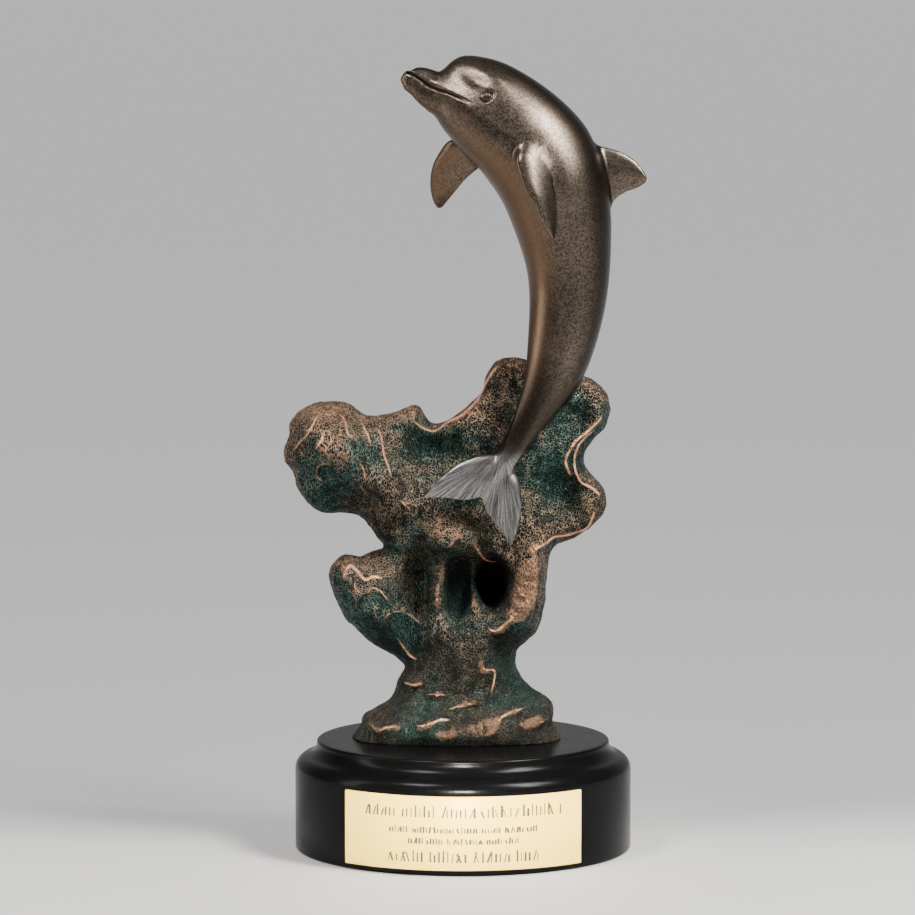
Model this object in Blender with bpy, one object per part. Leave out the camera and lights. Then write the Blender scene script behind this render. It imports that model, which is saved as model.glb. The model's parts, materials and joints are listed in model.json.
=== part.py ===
# A dolphin trophy: a dolphin leaping out of a coral head, cast in one piece, on a turned round
# base with a thin brass nameplate bent round its front.
# The origin is the centre of the base's underside. +X is to the right as the nameplate is read,
# +Y points away from the reader and +Z is up.
import math

import bmesh
import bpy
import numpy as np
from mathutils import Matrix, Vector

MM = 0.001

# The turned base: a straight wall, an S-shaped shoulder and a flat top
BASE_DIAMETER = 127 * MM
BASE_HEIGHT = 41.5 * MM
SHOULDER_INSET = 8.2 * MM
SHOULDER_RISE = 11 * MM
TOP_EDGE_RADIUS = 1 * MM
FOOT_BEVEL = 1.2 * MM
BASE_STEPS = 56
SHOULDER_STEPS = 4

# The nameplate: its width is measured round its curve, its height is what the margins leave
PLATE_WIDTH = 95.5 * MM
PLATE_THICKNESS = 1 * MM
PLATE_MARGIN_BELOW = 2.4 * MM
PLATE_MARGIN_ABOVE = 0.8 * MM
PLATE_STEPS = 24

# What rests on the base or is fixed to it keeps this gap to it
SEAT_GAP = 0.3 * MM

# The casting is drawn in hundredths of its own height: x to the right, y away, z up from its foot
CASTING_HEIGHT = 256.6 * MM
UNIT = CASTING_HEIGHT / 100

# The coral head: its front outline, from the left of the foot over the top to the right
CORAL_OUTLINE = [
    (-15.0, -3.0), (-14.9, 1.8), (-14.3, 3.4), (-12.8, 4.4), (-11.0, 5.5), (-10.1, 6.8), (-9.6, 8.6),
    (-8.7, 10.4), (-9.8, 11.7), (-11.6, 13.0), (-13.7, 14.5), (-15.7, 16.1), (-17.3, 18.1), (-18.6, 20.4),
    (-19.5, 22.7), (-19.5, 24.7), (-18.6, 26.3), (-17.2, 27.1), (-15.1, 26.8), (-13.3, 27.5), (-11.6, 28.4),
    (-12.8, 29.9), (-13.9, 31.7), (-15.4, 33.0), (-18.0, 33.3), (-20.7, 33.4), (-22.7, 34.6), (-24.0, 36.5),
    (-24.5, 38.3), (-25.2, 39.8), (-26.2, 41.2), (-26.2, 43.0), (-25.5, 44.5), (-25.2, 46.4), (-24.0, 48.1),
    (-21.8, 49.4), (-19.2, 49.8), (-16.8, 49.5), (-15.2, 48.2), (-13.6, 47.5), (-11.3, 47.7), (-9.2, 48.4),
    (-7.5, 49.1), (-6.3, 48.9), (-5.6, 47.5), (-4.4, 46.5), (-2.5, 46.8), (-0.4, 48.1), (1.5, 49.7),
    (2.9, 51.4), (3.4, 53.3), (4.4, 55.2), (5.8, 56.0), (8.3, 56.0), (12.0, 54.9), (15.6, 54.0),
    (18.3, 53.1), (20.0, 52.2), (21.2, 50.8), (21.5, 48.7), (21.1, 46.5), (19.7, 44.8), (18.3, 43.1),
    (17.7, 41.4), (18.3, 39.6), (19.6, 38.1), (20.8, 36.4), (21.1, 34.3), (20.2, 32.4), (18.3, 30.8),
    (16.0, 29.6), (13.9, 28.7), (12.8, 26.9), (12.3, 24.6), (12.2, 21.9), (12.0, 19.8), (11.5, 17.8),
    (10.7, 15.7), (9.3, 14.4), (7.9, 13.0), (7.9, 11.0), (8.7, 8.9), (10.1, 7.3), (12.1, 6.1),
    (13.1, 4.7), (13.1, 2.3), (13.0, -3.0),
]
CORAL_RIM = 3.9
CORAL_FRONT = 4.4
CORAL_BACK = 5.0
CORAL_LEAST = 1.6
CORAL_GRAIN = 0.8
SMOOTHING_STEPS = 2
CORAL_KEEP = 0.205

# Soft swellings (+) and hollows (-) of the front: centre x and z, radii, tilt in degrees, height
FRONT_FORMS = {
    "knob": (-19.4, 42.3, 6.2, 7.6, 0, 4.0),
    "fold of the knob": (-20.4, 38.6, 2.2, 4.0, -20, -1.4),
    "under the knob": (-16.2, 35.4, 4.4, 1.8, 0, -1.2),
    "arm of the knob": (-11.5, 37.2, 9.0, 3.2, 42, 2.4),
    "upper dish": (-4.8, 42.9, 5.4, 4.4, -18, -3.6),
    "behind the tail": (6.0, 50.3, 4.2, 6.5, 20, -1.2),
    "behind the flukes": (4.6, 36.6, 6.4, 4.6, -40, -2.0),
    "upper right dish": (16.6, 48.0, 2.8, 4.0, 20, -1.7),
    "right dish": (14.6, 36.6, 3.6, 6.0, 12, -3.4),
    "brow": (-0.8, 30.7, 5.4, 3.2, -8, 3.7),
    "brow, right": (10.2, 27.0, 3.0, 4.4, 10, 2.2),
    "curl": (9.2, 20.8, 3.2, 6.0, 8, 3.6),
    "chin": (6.2, 16.4, 3.4, 2.2, 10, 1.3),
    "valley": (-6.6, 22.5, 2.2, 7.6, 6, -2.8),
    "leaf": (-14.6, 21.8, 5.0, 6.0, -25, 3.4),
    "waist": (-6.3, 12.9, 2.9, 2.9, 30, -1.2),
    "trunk": (0.2, 11.5, 5.0, 8.8, 0, 1.8),
    "recess by the trunk": (6.6, 11.0, 2.0, 3.6, 0, -1.4),
    "foot": (-0.7, 1.2, 16.2, 3.9, 0, 3.9),
    "foot, left lobe": (-11.6, 2.6, 2.9, 2.0, 0, 0.7),
    "foot, middle lobe": (-3.6, 2.4, 4.4, 2.3, 0, 1.5),
    "foot, right lobe": (4.6, 2.8, 3.6, 2.4, 0, 1.2),
    "foot, last lobe": (11.2, 3.2, 2.4, 2.6, 0, 1.0),
}
# Hollows of the front with steep walls: centre x and z, radii, tilt in degrees, height
FRONT_WELLS = {
    "deep hollow": (4.3, 23.3, 2.2, 3.2, 0, -7.5),
    "long hollow": (-0.7, 22.4, 1.9, 4.4, 3, -3.6),
}
# The back is plainer: the same masses, seen from behind
BACK_FORMS = {
    "knob": (-17.5, 41.5, 6.8, 6.8, 0, 1.8),
    "upper dish": (-6.0, 42.0, 5.5, 3.6, 12, -1.2),
    "right dish": (11.5, 45.5, 4.2, 5.2, 25, -2.0),
    "right lobe": (15.0, 34.5, 4.6, 4.6, 0, 1.2),
    "brow": (2.0, 33.0, 9.5, 5.0, -12, 2.0),
    "hollow": (8.5, 24.0, 2.4, 4.4, -8, -2.4),
    "valley": (-6.5, 22.0, 2.0, 6.4, 12, -1.4),
    "leaf": (-13.5, 21.5, 5.2, 5.2, -25, 1.2),
    "trunk": (1.5, 14.0, 6.2, 9.5, 0, 1.8),
    "foot": (-0.7, 1.2, 16.2, 3.8, 0, 3.2),
}
# The back's waves differ from the front's by this shift
BACK_SHIFT = 20
# Ridges of the front, drawn as they are seen from a little above: their run in x and z, half-width,
# height. Each is raised by this share of the depth that it lies at.
SIGHT_SLOPE = 0.1
FRONT_RIDGES = {
    "top rim": (
        [(-8.1, 47.6), (-6.5, 46.2), (-4.3, 45.3), (-2.2, 46.5), (0.0, 47.6), (2.2, 49.8), (3.4, 52.3),
         (4.4, 53.9), (5.3, 54.8), (6.2, 54.8)], 0.8, 1.1),
    "right rim, inner": (
        [(20.8, 48.0), (19.6, 46.6), (17.9, 45.1), (16.5, 44.0), (15.6, 42.6), (15.0, 41.0), (15.5, 39.3),
         (16.3, 38.1)], 0.8, 1.1),
    "right rim, outer": (
        [(19.6, 45.8), (17.9, 44.4), (16.8, 43.1), (16.3, 41.4), (16.4, 39.8), (17.2, 37.9), (18.7, 37.0),
         (19.8, 36.0), (20.3, 34.8)], 0.7, 0.8),
    "right rim, lower": (
        [(19.5, 34.2), (18.9, 32.5), (18.2, 30.9), (16.3, 30.2), (14.9, 29.9), (13.2, 29.7), (12.2, 28.9),
         (10.6, 28.1), (9.5, 26.7)], 0.9, 1.1),
    "curl, inner edge": (
        [(9.3, 26.9), (9.1, 25.2), (9.2, 23.9), (8.8, 22.5), (8.5, 20.8), (8.0, 19.3), (7.0, 17.9),
         (6.0, 16.9), (4.8, 16.1), (3.8, 16.4), (3.4, 17.3)], 0.8, 1.0),
    "curl, outer edge": (
        [(11.4, 26.9), (11.0, 24.9), (10.5, 22.5), (10.4, 20.0), (9.5, 16.7), (8.7, 15.7)], 0.8, 0.5),
    "edge of the deep hollow": (
        [(1.5, 30.0), (1.5, 29.0), (2.4, 27.6), (3.2, 26.6), (4.1, 26.2), (6.0, 26.1)], 0.7, 0.8),
    "edge of the long hollow": (
        [(-1.2, 26.4), (-2.4, 24.9), (-3.0, 23.4), (-3.5, 21.8), (-3.9, 19.8), (-3.7, 18.3)], 0.8, 0.8),
    "knob, left fold": (
        [(-19.7, 48.6), (-21.2, 47.4), (-21.8, 46.2), (-22.9, 44.5), (-23.9, 43.5), (-25.0, 41.6)], 0.7, 0.5),
    "knob, inner fold": ([(-18.3, 48.4), (-17.1, 46.5), (-16.7, 44.8), (-15.1, 43.7)], 0.7, 0.5),
    "knob, middle fold": ([(-15.6, 47.1), (-14.1, 45.2), (-13.5, 43.5), (-13.2, 42.0)], 0.7, 0.5),
    "knob, right fold": (
        [(-13.8, 46.0), (-12.1, 45.0), (-11.6, 42.3), (-10.9, 40.1), (-10.1, 37.7)], 0.8, 0.6),
    "arm, long crease": ([(-16.6, 39.9), (-15.1, 37.7), (-14.1, 36.2), (-13.4, 34.8)], 0.7, 0.5),
    "leaf rim": (
        [(-17.5, 22.9), (-17.4, 24.1), (-16.6, 25.4), (-15.5, 24.8), (-14.3, 23.6), (-13.0, 24.0),
         (-11.8, 23.7), (-11.2, 23.0)], 0.7, 0.8),
    "leaf vein": (
        [(-18.4, 22.4), (-16.7, 22.0), (-15.8, 21.2), (-15.5, 20.3), (-15.8, 19.0), (-15.9, 17.9)], 0.7, 0.5),
    "leaf shell": (
        [(-11.8, 16.3), (-11.5, 17.8), (-10.7, 18.6), (-9.2, 19.0), (-8.0, 18.4), (-6.8, 17.5), (-5.9, 16.7),
         (-5.5, 15.8)], 0.7, 0.8),
    "leaf, lower vein": ([(-9.9, 15.6), (-9.1, 14.1), (-8.3, 12.9), (-7.6, 12.1), (-6.0, 11.3)], 0.7, 0.5),
    "column": (
        [(3.7, 12.6), (2.8, 11.3), (3.2, 10.4), (4.6, 10.2), (4.5, 8.5), (4.1, 6.9), (3.8, 5.9)], 0.7, 0.8),
    "top ledge": ([(-9.6, 8.0), (-8.4, 8.1), (-6.7, 8.1), (-5.0, 8.8)], 0.6, 1.2),
    "middle ledge": ([(-6.0, 6.9), (-4.3, 6.6), (-3.0, 6.6), (-1.7, 6.8)], 0.6, 1.1),
    "lower ledge": ([(-8.2, 5.3), (-7.3, 5.2), (-6.4, 5.0), (-5.8, 5.1)], 0.6, 0.9),
    "slanting ledge": ([(-3.0, 4.1), (-1.3, 4.8), (0.9, 5.3), (3.7, 5.6)], 0.6, 1.1),
    "foot edge, left": (
        [(-14.7, 2.6), (-13.6, 2.0), (-12.5, 1.4), (-11.0, 1.9), (-9.5, 2.1), (-8.4, 2.3)], 0.7, 0.9),
    "foot edge, middle": (
        [(-7.3, 3.0), (-6.5, 2.1), (-5.2, 2.3), (-3.4, 3.0), (-2.1, 3.0), (-1.1, 3.3)], 0.7, 1.1),
    "foot edge, right": (
        [(0.0, 2.0), (1.8, 1.9), (3.5, 2.0), (4.8, 2.6), (6.1, 3.7), (7.8, 4.3), (9.6, 5.0)], 0.7, 1.1),
    "foot edge, last": ([(7.4, 2.8), (8.7, 2.4), (10.6, 2.4), (12.2, 2.8), (12.8, 3.9)], 0.7, 0.9),
}
# The block that cuts the casting's foot flat
CUTTER_SIZE = 60

# The dolphin's body, from its lower jaw's tip to inside the flukes. Each station has its centre
# x, y, z, the angle that its axis dips below +X, the roll that turns the belly to the reader (both in
# degrees), the heights of the back and the belly over the centre, its half-width, and its keel from
# 0, round, to 1, sharp. In the beak the centre runs along the mouth line.
BODY_STATIONS = [
    (-8.9, -3.1, 97.3, 30, 12, 0.0, 0.0, 0.0, 0),
    (-8.5, -3.1, 97.8, 30, 12, 0.3, 1.2, 0.7, 0),
    (-7.8, -3.1, 97.7, 29, 12, 0.4, 2.0, 1.1, 0),
    (-7.4, -3.1, 97.5, 28, 12, 1.2, 2.4, 1.3, 0),
    (-6.5, -3.1, 96.9, 28, 12, 1.9, 2.5, 1.5, 0),
    (-5.4, -3.1, 96.1, 28, 12, 2.4, 2.8, 1.8, 0),
    (-4.6, -3.1, 95.7, 27, 12, 2.6, 3.1, 2.1, 0),
    (-4.1, -3.1, 95.5, 27, 12, 3.6, 3.2, 2.3, 0),
    (-3.7, -3.1, 95.3, 26, 12, 4.7, 3.4, 2.6, 0),
    (-2.5, -3.1, 94.9, 25, 12, 6.0, 3.8, 3.4, 0),
    (-0.5, -3.1, 94.1, 28, 12, 6.9, 5.1, 4.5, 0),
    (1.9, -3.1, 92.8, 33, 12, 7.7, 6.0, 5.6, 0),
    (4.6, -3.1, 90.8, 40, 12, 8.3, 6.6, 6.6, 0),
    (7.5, -3.1, 88.5, 48, 12, 8.6, 6.9, 7.4, 0),
    (10.4, -3.1, 85.5, 58, 12, 8.8, 7.4, 7.7, 0),
    (12.6, -3.1, 81.9, 68, 12, 8.4, 7.4, 7.7, 0),
    (13.9, -3.1, 77.8, 77, 12, 7.8, 7.1, 7.3, 0),
    (14.8, -3.3, 73.5, 84, 12, 6.8, 6.6, 6.6, 0),
    (15.2, -3.5, 69.1, 90, 12, 6.2, 5.9, 5.9, 0),
    (15.1, -3.9, 64.8, 94, 12, 5.8, 5.5, 5.3, 0.1),
    (14.5, -4.5, 60.5, 99, 13, 5.4, 5.1, 4.8, 0.2),
    (13.5, -5.0, 56.1, 106, 15, 4.9, 4.5, 4.1, 0.3),
    (12.0, -5.8, 52.1, 114, 20, 4.3, 3.5, 3.4, 0.5),
    (9.8, -6.5, 48.3, 122, 28, 3.2, 2.4, 2.7, 0.7),
    (7.8, -7.0, 44.7, 126, 42, 2.3, 1.8, 2.2, 0.8),
    (6.1, -7.4, 41.8, 122, 62, 1.9, 1.6, 1.8, 1),
    (4.8, -7.8, 39.6, 119, 78, 1.3, 1.3, 1.3, 1),
    (3.8, -8.0, 37.9, 119, 85, 0.6, 0.7, 0.7, 1),
]
RINGS_PER_STATION = 2
BACK_POINTS = 8
BELLY_POINTS = 7

# Degrees round a ring: the back is between the left side and the right side, the belly after it
RIGHT_SIDE = 180
LEFT_SIDE = 360

# The mouth line on both sides, in stations and in degrees below the centre at its corner
MOUTH_START = 1
MOUTH_END = 10.6
MOUTH_DROP = 9
MOUTH_DEPTH = 0.35
MOUTH_HALF_ANGLE = 8

# An eye on each side: station, degrees above the centre, radius and how deep its ball is set
EYE_STATION = 11.1
EYE_ANGLE = 10
EYE_RADIUS = 0.9
EYE_SINK = 0.55

# Fins: at each section the leading point, the trailing point and the thickness
DORSAL_FIN = [
    ((17.4, -2.9, 87.0), (19.0, -2.9, 77.2), 1.8),
    ((19.4, -2.9, 87.6), (21.4, -2.9, 78.2), 1.6),
    ((21.6, -3.0, 86.8), (22.3, -3.0, 79.5), 1.3),
    ((23.4, -3.0, 86.1), (23.6, -3.0, 80.5), 1.1),
    ((25.1, -3.1, 84.9), (25.2, -3.1, 81.1), 0.9),
    ((26.2, -3.2, 83.6), (26.1, -3.2, 81.6), 0.7),
    ((26.7, -3.2, 82.5), (26.5, -3.2, 81.9), 0.4),
]
RIGHT_FIN = [
    ((0.4, 0.0, 88.7), (4.8, 0.0, 85.2), 2.1),
    ((-2.0, 1.2, 87.9), (2.5, 1.2, 83.9), 1.8),
    ((-3.5, 2.7, 86.0), (0.6, 2.3, 82.4), 1.5),
    ((-4.5, 3.9, 83.9), (-1.0, 3.5, 80.5), 1.2),
    ((-4.8, 5.0, 81.5), (-2.2, 4.7, 79.0), 1.0),
    ((-4.5, 5.8, 79.5), (-3.0, 5.6, 78.0), 0.8),
    ((-3.8, 6.2, 78.0), (-3.3, 6.2, 77.8), 0.5),
]
LEFT_FIN = [
    ((8.0, -9.3, 88.1), (12.3, -9.3, 86.7), 2.3),
    ((7.3, -11.3, 86.0), (12.6, -10.5, 84.5), 2.1),
    ((8.0, -12.4, 83.7), (13.0, -10.9, 82.2), 1.7),
    ((9.0, -13.0, 81.0), (13.3, -11.2, 79.8), 1.5),
    ((10.2, -13.0, 78.4), (13.4, -11.3, 77.5), 1.2),
    ((11.6, -12.6, 75.9), (13.3, -11.5, 75.5), 0.9),
    ((12.7, -12.2, 74.2), (13.1, -11.8, 74.1), 0.5),
]
CHORD_STEPS = 6

# The flukes, spread towards the reader. From their root, each section has its place along the span,
# its leading and trailing edges along the axis, and its thickness
FLUKE_ROOT = (5.8, -7.6, 42.1)
FLUKE_AXIS = (-0.49, -0.10, -0.87)
FLUKE_SECTIONS = [
    (0.0, -1.2, 6.55, 2.6),
    (0.9, -0.7, 7.2, 2.0),
    (1.75, 0.0, 7.9, 1.7),
    (2.8, 0.95, 8.4, 1.5),
    (3.8, 1.95, 8.8, 1.3),
    (5.3, 3.9, 9.45, 1.1),
    (6.2, 5.9, 9.95, 0.9),
    (6.8, 7.9, 10.3, 0.7),
    (7.2, 10.1, 10.6, 0.4),
]


def material(name, colour, roughness, metallic):
    """A Principled BSDF with plain values."""
    made = bpy.data.materials.new(name)
    made.use_nodes = True
    shader = made.node_tree.nodes["Principled BSDF"]
    shader.inputs["Base Color"].default_value = (*colour, 1)
    shader.inputs["Roughness"].default_value = roughness
    shader.inputs["Metallic"].default_value = metallic
    return made


def object_from(mesh, name, look=None):
    """A linked object that holds the mesh."""
    made = bpy.data.objects.new(name, mesh)
    bpy.context.scene.collection.objects.link(made)
    if look:
        mesh.materials.append(look)
    return made


def as_helper(obj):
    """Marks an object that only shapes another one."""
    obj.hide_render = True
    obj.display_type = "WIRE"
    return obj


def mesh_from(shape, name):
    """Turns a bmesh into a mesh and frees it."""
    mesh = bpy.data.meshes.new(name)
    shape.to_mesh(mesh)
    shape.free()
    return mesh


def smooth_line(points, steps, closed):
    """A Catmull-Rom curve through the points, as an array."""
    points = np.asarray(points, float)
    count = len(points)
    line = []
    for i in range(count if closed else count - 1):
        corners = [i - 1, i, i + 1, i + 2]
        corners = [c % count for c in corners] if closed else np.clip(corners, 0, count - 1)
        a, b, c, d = points[corners]
        for step in range(steps):
            t = step / steps
            bend = (2 * a - 5 * b + 4 * c - d) * t**2 + (3 * b - a - 3 * c + d) * t**3
            line.append(0.5 * (2 * b + (c - a) * t + bend))
    if not closed:
        line.append(points[-1])
    return np.array(line)


def line_distance(x, z, line, closed):
    """How far each point in the front view is from a line of short straight runs."""
    starts = line if closed else line[:-1]
    ends = np.roll(line, -1, axis=0) if closed else line[1:]
    nearest = np.full(x.shape, np.inf)
    for (ax, az), (bx, bz) in zip(starts, ends):
        run_x, run_z = bx - ax, bz - az
        share = ((x - ax) * run_x + (z - az) * run_z) / (run_x**2 + run_z**2)
        share = np.clip(share, 0, 1)
        nearest = np.minimum(nearest, (x - ax - share * run_x) ** 2 + (z - az - share * run_z) ** 2)
    return np.sqrt(nearest)


def inside_outline(x, z, outline):
    """Whether each point lies in the closed outline."""
    inside = np.zeros(x.shape, bool)
    for (ax, az), (bx, bz) in zip(outline, np.roll(outline, 1, axis=0)):
        if az != bz:
            crosses = ((az > z) != (bz > z)) & (x < (bx - ax) * (z - az) / (bz - az) + ax)
            inside ^= crosses
    return inside


def spread(x, z, form):
    """The square of each point's distance from a form's centre, 1 at its radii."""
    centre_x, centre_z, radius_x, radius_z, tilt, _ = form
    turn = math.radians(-tilt)
    across, up = x - centre_x, z - centre_z
    u = (across * math.cos(turn) + up * math.sin(turn)) / radius_x
    v = (up * math.cos(turn) - across * math.sin(turn)) / radius_z
    return u**2 + v**2


def swelling(x, z, form):
    """The height that one soft form adds at each point."""
    return form[5] * np.exp(-1.2 * spread(x, z, form))


def well(x, z, form):
    """As a swelling, with a flatter floor and steeper walls."""
    return form[5] * np.exp(-((0.8 * spread(x, z, form)) ** 2))


def ridge(x, z, line, half_width, height):
    """The height that one ridge adds: round across, and fading out at its two ends."""
    across = line_distance(x, z, line, False) / half_width
    from_start = np.hypot(x - line[0, 0], z - line[0, 1])
    from_end = np.hypot(x - line[-1, 0], z - line[-1, 1])
    along = np.minimum(from_start, from_end) / (2.5 * half_width)
    return height * np.exp(-(across**2)) * (1 - np.exp(-(along**2)))


def unevenness(x, z):
    """Slow waves, as of a surface shaped by hand."""
    slow = np.sin(0.47 * x + 0.31 * z + 1.2 * np.sin(0.21 * z + 1)) * np.sin(0.44 * z - 0.23 * x + 0.4)
    quick = np.sin(0.9 * x - 0.53 * z + 1.1 * np.sin(0.35 * x)) * np.sin(0.81 * z + 0.4 * x + 0.7)
    return 0.35 * slow + 0.14 * quick


def front_height(x, z):
    """How far the front stands out before its ridges."""
    height = CORAL_FRONT + unevenness(x, z)
    for form in FRONT_FORMS.values():
        height += swelling(x, z, form)
    for form in FRONT_WELLS.values():
        height += well(x, z, form)
    return height


def as_seen(run):
    """The true line of a run that is drawn as it is seen from a little above."""
    line = smooth_line(run, 2, False)
    line[:, 1] += SIGHT_SLOPE * front_height(line[:, 0], line[:, 1])
    return line


def coral_field(points, outline, ridges):
    """Below 0 inside the coral, 0 on its surface, above 0 outside."""
    x, y, z = points.T
    depth_in = line_distance(x, z, outline, True)
    depth_in[~inside_outline(x, z, outline)] *= -1
    front = front_height(x, z)
    back = CORAL_BACK + unevenness(x + BACK_SHIFT, z)
    for form in BACK_FORMS.values():
        back += swelling(x, z, form)
    for line, half_width, height in ridges:
        front += ridge(x, z, line, half_width, height)
    middle = (back - front) / 2
    half_thickness = np.maximum((front + back) / 2, CORAL_LEAST)
    from_rim = 1 - np.minimum(depth_in / CORAL_RIM, 1)
    return np.sqrt(from_rim**2 + ((y - middle) / half_thickness) ** 2) - 1


def sculpt(mesh, field, passes, nudge=0.02):
    """Moves the mesh's points along the field's slope until they lie on its surface."""
    points = np.empty(len(mesh.vertices) * 3, np.float32)
    mesh.vertices.foreach_get("co", points)
    points = points.reshape(-1, 3).astype(float)
    for _ in range(passes):
        value = field(points)
        slope = np.empty_like(points)
        for axis in range(3):
            step = np.zeros(3)
            step[axis] = nudge
            slope[:, axis] = (field(points + step) - value) / nudge
        steepness = np.maximum((slope**2).sum(1), 1e-4)
        move = -(value / steepness)[:, None] * slope
        length = np.linalg.norm(move, axis=1)
        move *= (np.minimum(length, 1) / np.maximum(length, 1e-9))[:, None]
        points += move
    mesh.vertices.foreach_set("co", points.astype(np.float32).ravel())
    mesh.update()


def evenly_grained(mesh, grain):
    """The same closed shape with an even grid of faces."""
    blank = object_from(mesh, "coral_blank")
    remesh = blank.modifiers.new("even grain", "REMESH")
    remesh.mode = "VOXEL"
    remesh.voxel_size = grain
    bpy.context.view_layer.update()
    even = bpy.data.meshes.new_from_object(blank.evaluated_get(bpy.context.evaluated_depsgraph_get()))
    bpy.data.objects.remove(blank)
    return even


def coral_mesh():
    """The coral head, sawn from a board along its outline and then carved."""
    outline = smooth_line(CORAL_OUTLINE, 2, True)
    ridges = [(as_seen(run), width, height) for run, width, height in FRONT_RIDGES.values()]
    board = bmesh.new()
    face = board.faces.new([board.verts.new((x, -CORAL_FRONT, z)) for x, z in outline])
    sides = bmesh.ops.extrude_face_region(board, geom=[face])["geom"]
    moved = [v for v in sides if isinstance(v, bmesh.types.BMVert)]
    bmesh.ops.translate(board, verts=moved, vec=(0, CORAL_FRONT + CORAL_BACK, 0))
    bmesh.ops.triangulate(board, faces=board.faces[:])
    bmesh.ops.recalc_face_normals(board, faces=board.faces[:])
    mesh = mesh_from(board, "coral board")
    for passes in (6, 3):
        mesh = evenly_grained(mesh, CORAL_GRAIN)
        sculpt(mesh, lambda points: coral_field(points, outline, ridges), passes)
    return mesh


def loft(rings, name):
    """A closed mesh through rings of equal count, with a face over each end."""
    shell = bmesh.new()
    loops = [[shell.verts.new(point) for point in ring] for ring in rings]
    for ring, following in zip(loops, loops[1:]):
        for i in range(len(ring)):
            after = (i + 1) % len(ring)
            shell.faces.new((ring[i], ring[after], following[after], following[i]))
    shell.faces.new(loops[0][::-1])
    shell.faces.new(loops[-1])
    bmesh.ops.triangulate(shell, faces=shell.faces[:])
    bmesh.ops.recalc_face_normals(shell, faces=shell.faces[:])
    return mesh_from(shell, name)


def body_point(station, degrees, pressed_in=0):
    """A point of the body's skin: 0 degrees is its left side, 90 its back, 180 its right side."""
    dip, roll = math.radians(station[3]), math.radians(station[4])
    axis = Vector((math.cos(dip), 0, -math.sin(dip)))
    back = Vector((math.sin(dip), 0, math.cos(dip))) * math.cos(roll) + Vector((0, math.sin(roll), 0))
    left = axis.cross(back)
    back_height, belly_height, half_width, keel = station[5:]
    sine, cosine = math.sin(math.radians(degrees)), math.cos(math.radians(degrees))
    height = back_height if sine >= 0 else belly_height
    across = math.copysign(abs(cosine) ** (1 + keel), cosine)
    skin = left * (across * half_width) + back * (sine * height)
    return Vector(station[:3]) + skin * (1 - pressed_in / max(skin.length, 1e-6))


def body_mesh():
    """The dolphin without its fins, with the mouth lines pressed in."""
    rings = []
    for i, station in enumerate(smooth_line(BODY_STATIONS, RINGS_PER_STATION, False)):
        place = i / RINGS_PER_STATION
        station[5:8] = np.maximum(station[5:8], 0.02)
        drop = MOUTH_DROP * min(max((place - MOUTH_START) / (MOUTH_END - MOUTH_START), 0), 1)
        gape = MOUTH_DEPTH if MOUTH_START < place < MOUTH_END else 0
        right, left = RIGHT_SIDE + drop, LEFT_SIDE - drop
        back = np.linspace(left - LEFT_SIDE + MOUTH_HALF_ANGLE, right - MOUTH_HALF_ANGLE, BACK_POINTS + 2)
        belly = np.linspace(right + MOUTH_HALF_ANGLE, left - MOUTH_HALF_ANGLE, BELLY_POINTS + 2)
        ring = [body_point(station, degrees) for degrees in back]
        ring.append(body_point(station, right, min(gape, station[7] / 2)))
        ring += [body_point(station, degrees) for degrees in belly]
        ring.append(body_point(station, left, min(gape, station[7] / 2)))
        rings.append(ring)
    return loft(rings, "body")


def eye_mesh(degrees, name):
    """A small ball set into the skin."""
    steps = 10
    station = smooth_line(BODY_STATIONS, steps, False)[round(EYE_STATION * steps)]
    skin = body_point(station, degrees)
    inward = (Vector(station[:3]) - skin).normalized()
    ball = bmesh.new()
    bmesh.ops.create_icosphere(ball, subdivisions=2, radius=EYE_RADIUS)
    bmesh.ops.translate(ball, verts=ball.verts[:], vec=skin + inward * EYE_SINK)
    return mesh_from(ball, name)


def blade_profile():
    """Shares of chord and of half thickness round a fin's section, from the leading edge and back."""
    shares = [0.5 - 0.5 * math.cos(math.pi * k / CHORD_STEPS) for k in range(CHORD_STEPS + 1)]
    one_side = [(s, 2.6 * math.sqrt(s) * (1 - s) + 0.1 * s) for s in shares]
    return one_side + [(s, -half) for s, half in one_side[-1:0:-1]]


def blade_mesh(sections, name):
    """A fin through sections of leading point, trailing point and thickness."""
    middles = [(Vector(lead) + Vector(trail)) / 2 for lead, trail, _ in sections]
    rings = []
    for i, (lead, trail, thickness) in enumerate(sections):
        chord = Vector(trail) - Vector(lead)
        span = middles[min(i + 1, len(middles) - 1)] - middles[max(i - 1, 0)]
        flat = chord.cross(span).normalized() * (thickness / 2)
        rings.append([Vector(lead) + chord * share + flat * half for share, half in blade_profile()])
    return loft(rings, name)


def fluke_mesh():
    """Both flukes in one blade, from tip to tip."""
    axis = Vector(FLUKE_AXIS).normalized()
    span = axis.cross(Vector((0, 1, 0))).normalized()
    root = Vector(FLUKE_ROOT)
    halves = [(-place, *rest) for place, *rest in FLUKE_SECTIONS[:0:-1]] + FLUKE_SECTIONS
    sections = [
        (root + span * place + axis * lead, root + span * place + axis * trail, thickness)
        for place, lead, trail, thickness in halves
    ]
    return blade_mesh(sections, "flukes")


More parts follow.
